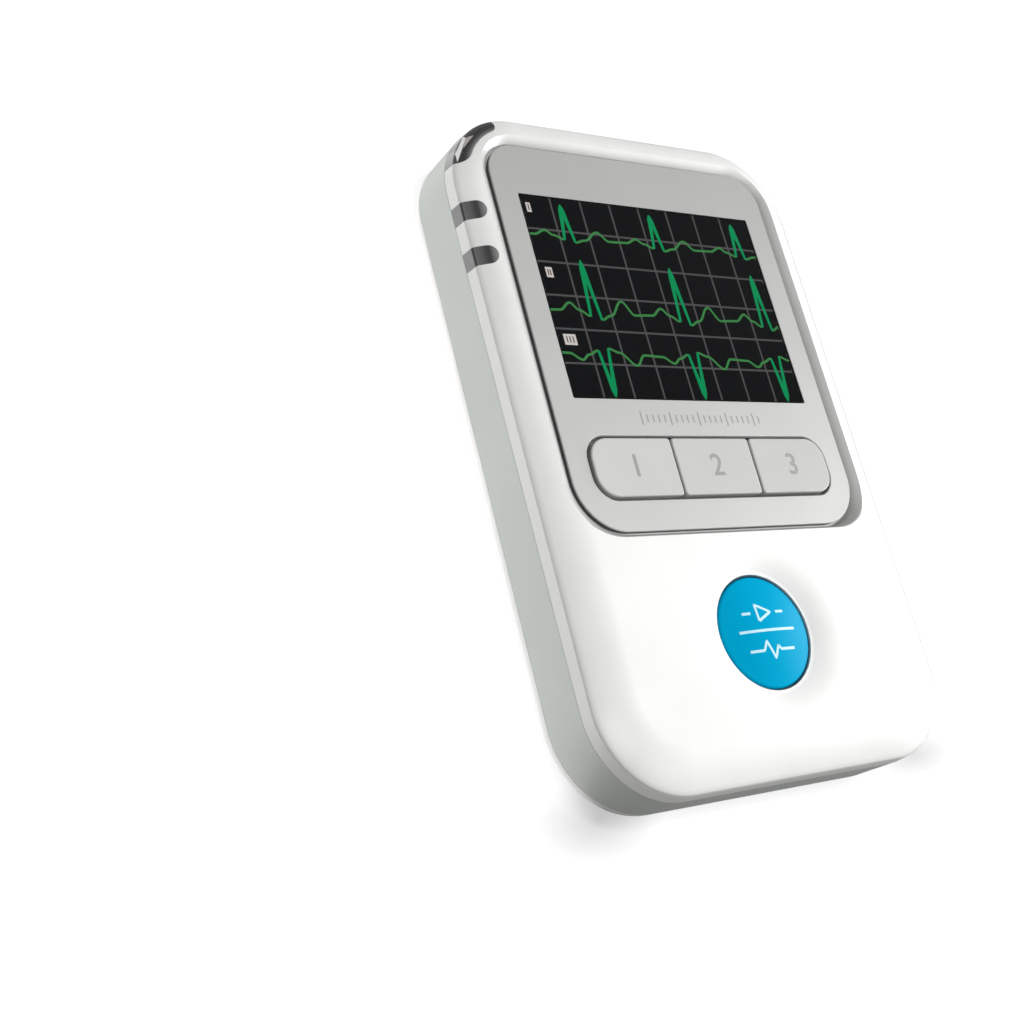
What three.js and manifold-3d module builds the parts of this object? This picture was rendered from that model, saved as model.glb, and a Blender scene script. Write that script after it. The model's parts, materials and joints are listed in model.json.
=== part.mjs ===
// A holter monitor: a pocket recorder with a small display, three keys and one large event button.
// Millimetres. The recorder lies on its back: X is its width, Y runs to its top end,
// and Z is its thickness, from the back face at 0 up to the crown of the front.

import * as THREE from 'three';
import { mergeVertices } from 'three/addons/utils/BufferGeometryUtils.js';
import Module from 'manifold-3d';

const wasm = await Module();
wasm.setup();

// Front face, from the display outwards
const screenWidth = 41.5;
const screenHeight = 30.2;
const screenSideBorder = 3.75;
const screenTopBorder = 7.6;
const screenToKeys = 5.7;
const keyRowHeight = 8.1;
const keysToPanelEnd = 4.6;
const panelSideRim = 5.5;
const panelTopRim = 4.95;
const panelToButton = 14.4;
const buttonToEnd = 18.95;

// Thicknesses, from the back face to the crown of the front
const backWall = 1.3;
const padThickness = 0.25;
const batteryThickness = 5.6;
const trayRoof = 0.6;
const boardThickness = 1;
const cushionThickness = 1.1;
const displayThickness = 2.1;
const displayGasketThickness = 0.3;
const panelThickness = 0.9;
const panelDepth = 0.7;

// Gaps between pieces
const touchGap = 0.05;
const slideGap = 0.1;
const seatGap = 0.15;
const looseGap = 0.3;

// Case shells
const cornerRadius = 12;
const caseWall = 2;
const lipWidth = 1.1;
const lipHeight = 1;
const rearEdgeRadius = 3;
const rearStraight = 0.2;
const bandHeight = 1.95;
const bandLean = 0.22;
const creaseDrop = 0.15;
const domeInset = 0.45;
const domeReach = 5.8;
const domeHeight = 1.85;
const pocketFloor = 0.8;
const sealWidth = 0.5;
const sealHeight = 0.6;

// Display panel and keys
const panelTopRadius = 5;
const panelEndRadius = 8;
const panelGap = 0.3;
const pocketBevel = 1.6;
const pocketFootDrop = 0.3;
const displaySideBorder = 1.15;
const displayTopBorder = 1.5;
const displayEndBorder = 2.3;
const cushionBand = 4;
const keyCount = 3;
const keyCornerRadius = 3;
const keyInnerRadius = 0.6;
const keyRise = 0.35;
const keyGap = 0.3;
const keyEdge = 0.3;
const keyFlange = 0.8;
const keyTravel = 0.4;
const edgeShare = 0.3;

// Event button
const buttonRadius = 7.5;
const buttonCrown = 0.8;
const buttonEdge = 0.35;
const buttonFlange = 1.1;
const buttonFlangeThickness = 0.7;
const buttonTravel = 0.7;
const buttonSealWidth = 0.4;
const buttonSealHeight = 0.8;
const dishRadius = 12;
const dishDepth = 0.85;

// Status windows and corner lens in the front shell's left edge
const windowWidth = 2.6;
const windowReach = 3.2;
const upperWindowFromTop = 15.75;
const windowSpacing = 6.7;
const lensReach = 2.45;
const lensStart = 17;
const lensEnd = 73;
const lensFillet = 1.2;
const guideHeight = 1.1;
const guideReach = 1.6;

// Battery, its tray and its door
const batteryWidth = 34;
const batteryLength = 46;
const batteryEdge = 0.5;
const trayWall = 1.2;
const trayFlange = 2.2;
const trayFlangeThickness = 1;
const barrelRadius = 1.5;
const pinRadius = 0.5;
const pinGrip = 3;
const doorCornerRadius = 2;
const gripCount = 5;
const gripSpacing = 1.6;
const gripWidth = 0.7;
const gripDepth = 0.35;
const scoopRadius = 7;
const scoopDepth = 0.8;
const snapLength = 8;
const snapFromEnd = 20;
const padInset = 4.8;
const contactCount = 3;
const contactSpacing = 4;
const contactBlockDepth = 2.2;
const contactBlockHeight = 4.6;
const leafWidth = 1.4;
const leafThickness = 0.25;
const leafHeight = 2.6;

// Circuit board and what stands on it
const boardLowerEnd = 8;
const boardScrewFromTop = 23.25;
const boardScrewFromEnd = 6.3;
const standoffRadius = 2;
const switchSide = 6;
const keySwitchWidth = 4.4;
const keySwitchDepth = 3;
const switchBody = 0.6;
const actuatorRadius = 1.5;
const chipThickness = 0.9;
const processorSide = 10;
const frontEndSide = 7;
const buzzerRadius = 4.5;
const buzzerHeight = 2.2;
const clockCellRadius = 4.8;
const clockCellHeight = 2;
const sideItemX = 15;
const sideItemFromButton = 4.3;
const ledLength = 1.6;
const ledWidth = 1.2;
const ledHeight = 0.7;
const ribbonWidth = 12;
const ribbonThickness = 0.25;
const ribbonConnectorDepth = 2.2;
const ribbonConnectorHeight = 0.8;
const ribbonConnectorEnds = 1;
const ribbonBend = 0.75;
const ribbonRise = 0.7;

// Memory card and its socket
const cardWidth = 11;
const cardLength = 15;
const cardThickness = 0.7;
const cardSocketWidth = 14;
const cardSocketLength = 13.8;
const cardSocketHeight = 1.7;
const cardSocketWall = 0.5;
const cardX = -8.5;

// Lead socket in the top end wall
const socketCavityWidth = 19.4;
const socketCavityHeight = 5;
const socketCavityDepth = 4.9;
const socketWall = 0.8;
const socketBack = 2.7;
const socketContactCount = 10;
const socketContactPitch = 1.8;
const socketContactWidth = 0.7;
const socketContactThickness = 0.35;
const legToTray = 1;

// Screws
const caseScrewRadius = 0.9;
const caseScrewHeadRadius = 1.8;
const caseScrewHeadHeight = 1.2;
const caseScrewSink = 0.25;
const caseScrewDepth = 5;
const bossRadius = 2.6;
const boardScrewRadius = 0.8;
const boardScrewHeadRadius = 1.5;
const boardScrewHeadHeight = 0.9;
const boardScrewDepth = 1.8;
const slotArmShare = 0.6;
const slotWidthShare = 0.35;
const slotDepthShare = 0.5;

// How finely round shapes are divided
const cornerSteps = 8;
const domeSteps = 5;
const edgeSteps = 5;
const roundSides = 32;
const smallSides = 12;
const middleSides = 16;
const bossSides = 20;
const discSides = 24;
const shankSides = 10;
const ribbonSteps = 4;
const middleSteps = 5;
const smallSteps = 3;

// How far a cutting shape runs past what it cuts
const past = 1;

// Coordinates are rounded to the grid, and slivers thinner than the tolerance are dropped.
const grid = 1e-4;
const meshTolerance = 0.004;

// Outer sizes that follow from the front face
const panelWidth = screenWidth + 2 * screenSideBorder;
const panelLength = screenTopBorder + screenHeight + screenToKeys + keyRowHeight + keysToPanelEnd;
const bodyWidth = panelWidth + 2 * panelSideRim;
const bodyLength = panelTopRim + panelLength + panelToButton + buttonToEnd;
const sideX = bodyWidth / 2;
const endY = bodyLength / 2;

// Places along the length
const panelTopY = endY - panelTopRim;
const panelY = panelTopY - panelLength / 2;
const screenTopY = panelTopY - screenTopBorder;
const screenY = screenTopY - screenHeight / 2;
const keyY = screenTopY - screenHeight - screenToKeys - keyRowHeight / 2;
const buttonY = -endY + buttonToEnd;
const displayTopY = screenTopY + displayTopBorder;
const displayEndY = screenTopY - screenHeight - displayEndBorder;
const displayY = (displayTopY + displayEndY) / 2;
const displayWidth = screenWidth + 2 * displaySideBorder;
const displayLength = displayTopY - displayEndY;

// Levels through the thickness
const padTop = backWall + padThickness;
const batteryBottom = padTop + touchGap;
const batteryTop = batteryBottom + batteryThickness;
const roofBottom = batteryTop + slideGap;
const boardBottom = roofBottom + trayRoof;
const boardTop = boardBottom + boardThickness;
const cushionTop = boardTop + cushionThickness;
const displayTop = cushionTop + displayThickness;
const panelBottom = displayTop + displayGasketThickness;
const panelTop = panelBottom + panelThickness;
const faceTop = panelTop + panelDepth;
const rearTop = rearEdgeRadius + rearStraight;
const creaseZ = faceTop - domeHeight;
const bandBottom = creaseZ - bandHeight;
const domeRadius = (domeReach ** 2 + domeHeight ** 2) / (2 * domeHeight);
const domeTilt = 2 * Math.atan2(domeHeight, domeReach);
const cavityTop = panelBottom - pocketFloor;
const cavityInset = caseWall + slideGap + lipWidth;
const rearLipTop = rearTop + lipHeight;
const frontLipBottom = bandBottom - lipHeight;

// Screw bosses tucked into the four corners
const bossOffset = (cornerRadius - caseWall - looseGap - bossRadius) * Math.SQRT1_2;
const bossX = sideX - cornerRadius + bossOffset;
const bossY = endY - cornerRadius + bossOffset;
const bossSplit = rearLipTop + looseGap;
const bossPlaces = fourCorners(bossX, bossY, -bossY);

// Lead socket, board, card, battery and door, from the top end downwards
const socketZ = (rearTop + bandBottom) / 2;
const socketFrontY = endY - caseWall - slideGap;
const socketBackY = socketFrontY - socketCavityDepth - socketBack;
const socketWidth = socketCavityWidth + 2 * socketWall;
const socketHeight = socketCavityHeight + 2 * socketWall;
const socketFloor = socketZ - socketCavityHeight / 2;
const boardTopY = socketBackY - looseGap;
const boardEndY = buttonY - boardLowerEnd;
const boardHalfWidth = sideX - cavityInset - looseGap;
const standoffX = boardHalfWidth - standoffRadius - looseGap;
const standoffUpperY = boardTopY - boardScrewFromTop;
const standoffLowerY = boardEndY + boardScrewFromEnd;
const standoffPlaces = fourCorners(standoffX, standoffUpperY, standoffLowerY);
const legY = boardTopY - looseGap - socketContactThickness;
const trayTopY = legY - legToTray;
const bayTopY = trayTopY - trayWall;
const cardSocketTopY = bayTopY - seatGap;
const cardTopY = cardSocketTopY - cardSocketWall;
const cardEndY = cardTopY - cardLength;
const batteryTopY = cardEndY - 2 * looseGap;
const batteryEndY = batteryTopY - batteryLength;
const bayEndY = batteryEndY - seatGap;
const trayEndY = bayEndY - trayWall;
const bayWidth = batteryWidth + 2 * looseGap;
const trayWidth = bayWidth + 2 * trayWall;
const hingeY = trayEndY - looseGap - barrelRadius;
const hingeZ = barrelRadius;
const doorWidth = trayWidth;
const doorLength = trayTopY - hingeY;
const openingWidth = doorWidth + 2 * looseGap;
const openingTopY = trayTopY + looseGap;
const openingEndY = hingeY - barrelRadius - looseGap;

// Keys and event button
const keyRowWidth = screenWidth;
const keyWidth = (keyRowWidth - (keyCount - 1) * keyGap) / keyCount;
const keyTop = panelTop + keyRise;
const keyFlangeTop = cavityTop - slideGap;
const keyBottom = keyFlangeTop - keyFlange;
const buttonRim = faceTop - dishDepth;
const buttonFlangeTop = cavityTop - slideGap;
const buttonBottom = buttonFlangeTop - buttonFlangeThickness;
const sealInnerRadius = buttonRadius + slideGap;
const sealOuterRadius = sealInnerRadius + buttonSealWidth;
const buttonSealTop = buttonRim - looseGap;
const buttonSealBottom = buttonSealTop - buttonSealHeight;
const boreRadius = buttonRadius + looseGap;
const switchTop = buttonBottom - buttonTravel - slideGap;
const keySwitchTop = keyBottom - keyTravel - slideGap;
const sideItemY = buttonY + sideItemFromButton;

// Status windows, corner lens and the lights under them
const windowYs = [endY - upperWindowFromTop, endY - upperWindowFromTop - windowSpacing];
const windowTipX = -sideX + windowReach;
const guideTop = cavityTop - slideGap;
const guideBottom = guideTop - guideHeight;
const guideTipX = -sideX + cavityInset + guideReach;
const guideHalfWidth = windowWidth / 2 - looseGap;
const lensCentre = new THREE.Vector2(-sideX + cornerRadius, endY - cornerRadius);
const ledX = -boardHalfWidth + slideGap + ledWidth / 2;
const cornerLedY = boardTopY - slideGap - ledLength / 2 - looseGap;
const lensGuideTipX = -bossX - bossRadius - looseGap;

// Turns a three.js geometry into a solid that can be joined and cut. Its coordinates are rounded,
// so that faces that are meant to meet lie on exactly the same numbers.
function solid(geometry) {
  const bare = geometry.clone();
  bare.deleteAttribute('normal');
  bare.deleteAttribute('uv');
  const coordinates = bare.attributes.position.array;
  coordinates.forEach((value, i) => {
    coordinates[i] = Math.round(value / grid) * grid;
  });
  const merged = mergeVertices(bare, grid);
  const corners = merged.index.array;
  const triangles = [];
  for (let i = 0; i < corners.length; i += 3) {
    const [a, b, c] = corners.slice(i, i + 3);
    if (a !== b && b !== c && c !== a) triangles.push(a, b, c);
  }
  const vertProperties = new Float32Array(merged.attributes.position.array);
  const triVerts = new Uint32Array(triangles);
  return new wasm.Manifold(new wasm.Mesh({ numProp: 3, vertProperties, triVerts }));
}

// Turns a solid back into a named mesh, placed by its position.
function piece(name, body, material, position = [0, 0, 0]) {
  const { vertProperties, triVerts } = body.simplify(meshTolerance).getMesh();
  const geometry = new THREE.BufferGeometry();
  geometry.setAttribute('position', new THREE.BufferAttribute(vertProperties, 3));
  geometry.setIndex(new THREE.BufferAttribute(triVerts, 1));
  const mesh = new THREE.Mesh(geometry, material);
  mesh.name = name;
  mesh.position.set(...position);
  return mesh;
}

function fourCorners(x, upperY, lowerY) {
  return [[x, upperY], [-x, upperY], [-x, lowerY], [x, lowerY]];
}

function joinAll(bodies) {
  return bodies.reduce((whole, body) => whole.add(body));
}

function cutAll(body, tools) {
  return tools.reduce((rest, tool) => rest.subtract(tool), body);
}

// Points of a rounded rectangle, anticlockwise, with its corner radii given from the top right on.
function outline(width, length, radii, centreX = 0, centreY = 0, steps = cornerSteps) {
  const corners = [[1, 1], [-1, 1], [-1, -1], [1, -1]];
  const points = [];
  corners.forEach(([sideways, lengthways], corner) => {
    const radius = Array.isArray(radii) ? radii[corner] : radii;
    const x = centreX + sideways * (width / 2 - radius);
    const y = centreY + lengthways * (length / 2 - radius);
    for (let step = 0; step <= steps; step++) {
      const angle = (corner + step / steps) * Math.PI / 2;
      points.push(new THREE.Vector2(x + radius * Math.cos(angle), y + radius * Math.sin(angle)));
    }
  });
  return points;
}

function bodyOutline(inset) {
  return outline(bodyWidth - 2 * inset, bodyLength - 2 * inset, cornerRadius - inset);
}

// A solid through outlines of equal point count, each given with its level.
function loft(levels) {
  const count = levels[0][1].length;
  const positions = levels.flatMap(([z, points]) => points.flatMap(({ x, y }) => [x, y, z]));
  const index = [];
  for (let level = 0; level + 1 < levels.length; level++) {
    for (let i = 0; i < count; i++) {
      const a = level * count + i;
      const b = level * count + (i + 1) % count;
      index.push(a, b, b + count, a, b + count, a + count);
    }
  }
  const top = (levels.length - 1) * count;
  for (let i = 1; i + 1 < count; i++) {
    index.push(0, i + 1, i);
    index.push(top, top + i, top + i + 1);
  }
  const geometry = new THREE.BufferGeometry();
  geometry.setAttribute('position', new THREE.Float32BufferAttribute(positions, 3));
  geometry.setIndex(index);
  return solid(geometry);
}

function plate(points, bottom, top) {
  return loft([[bottom, points], [top, points]]);
}

function ring(outerPoints, innerPoints, bottom, top) {
  return plate(outerPoints, bottom, top).subtract(plate(innerPoints, bottom - past, top + past));
}

function box([x0, x1], [y0, y1], [z0, z1]) {
  const geometry = new THREE.BoxGeometry(x1 - x0, y1 - y0, z1 - z0);
  geometry.translate((x0 + x1) / 2, (y0 + y1) / 2, (z0 + z1) / 2);
  return solid(geometry);
}

function rod(radius, bottom, top, x = 0, y = 0, sides = smallSides) {
  const geometry = new THREE.CylinderGeometry(radius, radius, top - bottom, sides);
  geometry.rotateX(Math.PI / 2);
  geometry.translate(x, y, (bottom + top) / 2);
  return solid(geometry);
}

function crossRod(radius, halfLength, y, z, sides = smallSides) {
  const geometry = new THREE.CylinderGeometry(radius, radius, 2 * halfLength, sides);
  geometry.rotateZ(Math.PI / 2);
  geometry.translate(0, y, z);
  return solid(geometry);
}

// A turned solid about Z, from its profile of radius and level pairs, bottom first.
function turned(profile, sides = roundSides) {
  const points = profile.map(([radius, level]) => new THREE.Vector2(radius, level));
  const geometry = new THREE.LatheGeometry(points, sides);
  geometry.rotateX(Math.PI / 2);
  return solid(geometry);
}

function extruded(shape, bottom, height) {
  const geometry = new THREE.ExtrudeGeometry(shape, {
    depth: height,
    bevelEnabled: false,
    curveSegments: cornerSteps,
  });
  geometry.translate(0, 0, bottom);
  return solid(geometry);
}

function finish(color, roughness, metalness = 0, extra = {}) {
  return new THREE.MeshStandardMaterial({ color, roughness, metalness, flatShading: true, ...extra });
}

const whiteGloss = finish(0xf3f3f1, 0.25);
const greySatin = finish(0xbcc0bc, 0.45);
const panelGrey = finish(0xc3c3c0, 0.5);
const keyGrey = finish(0xd2d2cf, 0.5);
const eventBlue = finish(0x00a0d2, 0.3);
const smokeClear = finish(0x3a3a3b, 0.15);
const clearWindow = finish(0xdfe6e8, 0.05, 0, { transparent: true, opacity: 0.3 });
const displayBlack = finish(0x0f1116, 0.2);
const blackPlastic = finish(0x222426, 0.6);
const darkRubber = finish(0x1d3a44, 0.8);
const softFoam = finish(0x2c2c2e, 0.95);
const boardGreen = finish(0x1f6b42, 0.5);
const chipBlack = finish(0x17181a, 0.5);
const amberFilm = finish(0xc07a2a, 0.4);
const steel = finish(0xb9bcc0, 0.3, 1);
const gold = finish(0xd6a845, 0.3, 1);
const ledWhite = finish(0xe9ecd9, 0.3);
const packGrey = finish(0x3d4247, 0.5);

// Front shell: the white face, arched down to the crease all round, and the band below it.
function frontForm() {
  const levels = [
    [bandBottom, bodyOutline(0)],
    [creaseZ - creaseDrop, bodyOutline(bandLean)],
    [creaseZ, bodyOutline(domeInset)],
  ];
  for (let step = 1; step <= domeSteps; step++) {
    const angle = domeTilt * (1 - step / domeSteps);
    const inset = domeInset + domeRadius * (Math.sin(domeTilt) - Math.sin(angle));
    const rise = domeRadius * (Math.cos(angle) - Math.cos(domeTilt));
    levels.push([creaseZ + rise, bodyOutline(inset)]);
  }
  return loft(levels);
}

function panelOutline(grow) {
  const topRadius = panelTopRadius + grow;
  const endRadius = panelEndRadius + grow;
  const radii = [topRadius, topRadius, endRadius, endRadius];
  return outline(panelWidth + 2 * grow, panelLength + 2 * grow, radii, 0, panelY);
}

function displayOutline(grow) {
  const radius = Math.max(looseGap + grow, seatGap);
  return outline(displayWidth + 2 * grow, displayLength + 2 * grow, radius, 0, displayY, smallSteps);
}

function keyRowOutline(grow) {
  const width = keyRowWidth + 2 * grow;
  return outline(width, keyRowHeight + 2 * grow, keyCornerRadius + grow, 0, keyY);
}

// The pocket that holds the display panel, with its sloped rim that starts below the panel's face.
function panelPocket() {
  const foot = panelTop - pocketFootDrop;
  const rise = faceTop - foot;
  return loft([
    [panelBottom, panelOutline(panelGap)],
    [foot, panelOutline(panelGap)],
    [foot + 2 * rise, panelOutline(panelGap + 2 * pocketBevel)],
  ]);
}

// The shallow dish round the event button, steepest beside the button.
function buttonDish() {
  const run = dishRadius - sealOuterRadius;
  const profile = [[0, buttonRim]];
  for (let step = 0; step <= domeSteps; step++) {
    const share = step / domeSteps;
    profile.push([sealOuterRadius + run * share, buttonRim + dishDepth * (1 - (1 - share) ** 2)]);
  }
  profile.push([dishRadius, faceTop + past], [0, faceTop + past]);
  return turned(profile).translate([0, buttonY, 0]);
}

// The hole of the event button, stepped for its seal.
function buttonBore() {
  return rod(boreRadius, cavityTop - past, faceTop, 0, buttonY, roundSides)
    .add(rod(sealOuterRadius + touchGap, buttonSealBottom, faceTop, 0, buttonY, roundSides));
}

// The space of one status window, with its round tip, and of its light guide.
function windowSpace(y, grow, bottom) {
  const radius = windowWidth / 2 + grow;
  const shape = new THREE.Shape();
  const centreX = windowTipX - windowWidth / 2;
  shape.moveTo(-sideX - past, y - radius);
  shape.lineTo(centreX, y - radius);
  shape.absarc(centreX, y, radius, -Math.PI / 2, Math.PI / 2, false);
  shape.lineTo(-sideX - past, y + radius);
  const halfWidth = guideHalfWidth + grow;
  const guide = box(
    [centreX, guideTipX + grow],
    [y - halfWidth, y + halfWidth],
    [guideBottom - grow, guideTop],
  );
  return extruded(shape, bottom, faceTop + past - bottom).add(guide);
}

// The space of the corner lens: a sector with filleted inner corners, and its light guide.
function lensSpace(grow, bottom) {
  const { x, y } = lensCentre;
  const inner = cornerRadius - lensReach - grow;
  const fillet = lensFillet;
  const outer = cornerRadius + past;
  const spread = grow / cornerRadius;
  const start = THREE.MathUtils.degToRad(lensStart) - spread;
  const end = THREE.MathUtils.degToRad(lensEnd) + spread;
  const turn = Math.asin(fillet / (inner + fillet));
  const at = (radius, angle) => [x - radius * Math.cos(angle), y + radius * Math.sin(angle)];
  const startCentre = at(inner + fillet, start + turn);
  const endCentre = at(inner + fillet, end - turn);
  const shape = new THREE.Shape();
  shape.moveTo(...at(outer, start));
  shape.lineTo(...at((inner + fillet) * Math.cos(turn), start));
  shape.absarc(...startCentre, fillet, -Math.PI / 2 - start, -start - turn, false);
  shape.absarc(x, y, inner, Math.PI - start - turn, Math.PI - end + turn, true);
  shape.absarc(...endCentre, fillet, -end + turn, Math.PI / 2 - end, false);
  shape.lineTo(...at(outer, end));
  shape.absarc(x, y, outer, Math.PI - end, Math.PI - start, false);
  const guide = box(
    [guideTipX - guideReach - looseGap - grow, lensGuideTipX + grow],
    [cornerLedY - ledLength / 2 - grow, lensCentre.y + bossOffset + grow],
    [guideBottom - grow, guideTop],
  );
  return extruded(shape, bottom, faceTop + past - bottom).add(guide);
}

// A window fills its space up to the outer form of the front shell.
function windowBody(space) {
  const belowGuide = plate(bodyOutline(cavityInset), frontLipBottom, guideBottom);
  return space.intersect(frontForm()).subtract(belowGuide);
}

function frontHousing() {
  const lip = ring(
    bodyOutline(caseWall + slideGap),
    bodyOutline(cavityInset),
    frontLipBottom,
    bandBottom + touchGap,
  );
  const cavity = plate(bodyOutline(cavityInset), frontLipBottom - past, cavityTop);
  const roofLevel = cavityTop + touchGap;
  const bosses = bossPlaces.map(([x, y]) => rod(bossRadius, bossSplit, roofLevel, x, y, bossSides));
  const standoffs = standoffPlaces.map(([x, y]) => rod(standoffRadius, boardTop, roofLevel, x, y));
  const bossBores = bossPlaces.map(([x, y]) => {
    return rod(caseScrewRadius + slideGap, bossSplit - past, bossSplit + caseScrewDepth + looseGap, x, y);
  });
  const standoffBores = standoffPlaces.map(([x, y]) => {
    return rod(boardScrewRadius + slideGap, boardTop - past, boardTop + boardScrewDepth + looseGap, x, y);
  });
  const keySlot = plate(keyRowOutline(keyGap), cavityTop - past, panelBottom + past);
  const displaySlot = plate(displayOutline(looseGap), cavityTop - past, panelBottom + past);
  const shell = cutAll(frontForm().add(lip), [cavity, panelPocket(), keySlot, displaySlot]);
  const withBosses = joinAll([shell, ...bosses, ...standoffs]);
  return cutAll(withBosses, [
    buttonDish(),
    buttonBore(),
    lensSpace(seatGap, bandBottom - slideGap),
    ...windowYs.map((y) => windowSpace(y, seatGap, bandBottom - slideGap)),
    ...bossBores,
    ...standoffBores,
    socketRoom(),
  ]);
}

// The room that both shells' lips leave for the lead socket.
function socketRoom() {
  const half = socketWidth / 2 + looseGap;
  return box(
    [-half, half],
    [socketBackY - looseGap, socketFrontY + slideGap],
    [socketZ - socketHeight / 2 - looseGap, socketZ + socketHeight / 2 + looseGap],
  );
}

// Side frame: the pale grey wall between the shells, grooved above and below for the seals.
function sideFrame() {
  const wall = ring(bodyOutline(0), bodyOutline(caseWall), rearTop, bandBottom);
  const mouth = box(
    [-socketCavityWidth / 2, socketCavityWidth / 2],
    [endY - caseWall - past, endY + past],
    [socketFloor, socketFloor + socketCavityHeight],
  );
  const groove = (bottom, top) => caseSeal(slideGap, bottom, top);
  return cutAll(wall, [
    mouth,
    groove(rearTop - past, rearTop + sealHeight),
    groove(bandBottom - sealHeight, bandBottom + past),
  ]);
}

function caseSeal(grow, bottom, top) {
  const middle = caseWall / 2;
  const half = sealWidth / 2 + grow;
  return ring(bodyOutline(middle - half), bodyOutline(middle + half), bottom, top);
}

// Rear cover: the white back with its rounded edge, the door's opening and the hinge ears.
function rearForm() {
  const levels = [];
  for (let step = 0; step <= edgeSteps; step++) {
    const angle = step / edgeSteps * Math.PI / 2;
    const inset = rearEdgeRadius * (1 - Math.sin(angle));
    levels.push([rearEdgeRadius * (1 - Math.cos(angle)), bodyOutline(inset)]);
  }
  levels.push([rearTop, bodyOutline(0)]);
  return loft(levels);
}

function openingOutline() {
  const length = openingTopY - openingEndY;
  const radius = doorCornerRadius + looseGap;
  const centreY = (openingTopY + openingEndY) / 2;
  return outline(openingWidth, length, [radius, radius, looseGap, looseGap], 0, centreY, middleSteps);
}

function rearCover() {
  const cavity = plate(bodyOutline(cavityInset), backWall, rearTop + past);
  const lip = ring(
    bodyOutline(caseWall + slideGap),
    bodyOutline(cavityInset),
    rearTop - touchGap,
    rearLipTop,
  );
  const floorLevel = backWall - touchGap;
  const posts = bossPlaces.map(([x, y]) => rod(bossRadius, floorLevel, bossSplit, x, y, bossSides));
  const earOuterX = openingWidth / 2 + pinGrip + looseGap;
  const ears = [-1, 1].map((side) => {
    const xs = [side * openingWidth / 2, side * earOuterX].sort((a, b) => a - b);
    return box(xs, [openingEndY, trayEndY - looseGap], [floorLevel, hingeZ + barrelRadius]);
  });
  const pinHole = crossRod(pinRadius + touchGap, openingWidth / 2 + pinGrip, hingeY, hingeZ);
  const headRooms = bossPlaces.map(([x, y]) => {
    return rod(caseScrewHeadRadius + looseGap, -past, caseScrewSink + caseScrewHeadHeight, x, y, bossSides);
  });
  const holes = bossPlaces.map(([x, y]) => {
    return rod(caseScrewRadius + slideGap, -past, bossSplit + past, x, y);
  });
  const sphereRadius = (scoopRadius ** 2 + scoopDepth ** 2) / (2 * scoopDepth);
  const scoop = new THREE.SphereGeometry(sphereRadius, roundSides * 2, roundSides * 2);
  scoop.translate(0, openingTopY, scoopDepth - sphereRadius);
  const shell = joinAll([rearForm().subtract(cavity).add(lip), ...posts, ...ears]);
  return cutAll(shell, [
    plate(openingOutline(), -past, backWall + past),
    box(
      [-openingWidth / 2, openingWidth / 2],
      [openingEndY, trayEndY],
      [0, hingeZ + barrelRadius + past],
    ),
    pinHole,
    ...headRooms,
    ...holes,
    solid(scoop),
    socketRoom(),
  ]);
}

// Battery door, built about its hinge line.
function batteryDoor() {
  const radii = [doorCornerRadius, doorCornerRadius, seatGap, seatGap];
  const leafPoints = outline(doorWidth, doorLength, radii, 0, doorLength / 2, middleSteps);
  const leaf = plate(leafPoints, -hingeZ, backWall - hingeZ);
  const barrel = crossRod(barrelRadius, doorWidth / 2, 0, 0, discSides);
  const bore = crossRod(pinRadius + seatGap, doorWidth, 0, 0, middleSides);
  const snaps = [-1, 1].map((side) => {
    const xs = [side * (doorWidth / 2 - touchGap), side * (doorWidth / 2 + looseGap / 2)];
    const middle = doorLength - snapFromEnd;
    return box(
      xs.sort((a, b) => a - b),
      [middle - snapLength / 2, middle + snapLength / 2],
      [-hingeZ + backWall / 2, -hingeZ + backWall - touchGap],
    );
  });
  const grips = [];
  for (let i = 0; i < gripCount; i++) {
    const y = doorLength - scoopRadius - i * gripSpacing;
    grips.push(box(
      [-scoopRadius, scoopRadius],
      [y - gripWidth / 2, y + gripWidth / 2],
      [-hingeZ - past, -hingeZ + gripDepth],
    ));
  }
  return cutAll(joinAll([leaf, barrel, ...snaps]), [bore, ...grips]);
}

function doorPad() {
  const centreY = (batteryTopY + batteryEndY) / 2 - hingeY;
  const width = batteryWidth - 2 * padInset;
  const length = batteryLength - 2 * padInset;
  const points = outline(width, length, doorCornerRadius, 0, centreY, smallSteps);
  return plate(points, backWall - hingeZ, padTop - hingeZ);
}

// Battery tray: a roofed frame that stands on the back, with windows for contacts and card.
function batteryTray() {
  const centreY = (trayTopY + trayEndY) / 2;
  const outerLength = trayTopY - trayEndY;
  const bayCentreY = (bayTopY + bayEndY) / 2;
  const outer = outline(trayWidth, outerLength, doorCornerRadius, 0, centreY, smallSteps);
  const shell = plate(outer, backWall + slideGap, boardBottom);
  const flangeHalf = openingWidth / 2 + trayFlange;
  const flange = box(
    [-flangeHalf, flangeHalf],
    [trayEndY, openingTopY + trayFlange / 2],
    [backWall, backWall + trayFlangeThickness],
  );
  const doorClear = plate(openingOutline(), 0, backWall + slideGap);
  const bayPoints = outline(bayWidth, bayTopY - bayEndY, seatGap, 0, bayCentreY, smallSteps);
  const bay = plate(bayPoints, 0, roofBottom);
  return cutAll(shell.add(flange), [
    doorClear,
    bay,
    contactBlockSpace(looseGap),
    cardSocketSpace(looseGap),
    cardSpace(looseGap),
  ]);
}

function batteryPack() {
  const centreY = (batteryTopY + batteryEndY) / 2;
  const packOutline = (inset) => {
    const width = batteryWidth - 2 * inset;
    return outline(width, batteryLength - 2 * inset, doorCornerRadius - inset, 0, centreY, smallSteps);
  };
  return loft([
    [batteryBottom, packOutline(batteryEdge)],
    [batteryBottom + batteryEdge, packOutline(0)],
    [batteryTop - batteryEdge, packOutline(0)],
    [batteryTop, packOutline(batteryEdge)],
  ]);
}

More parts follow.
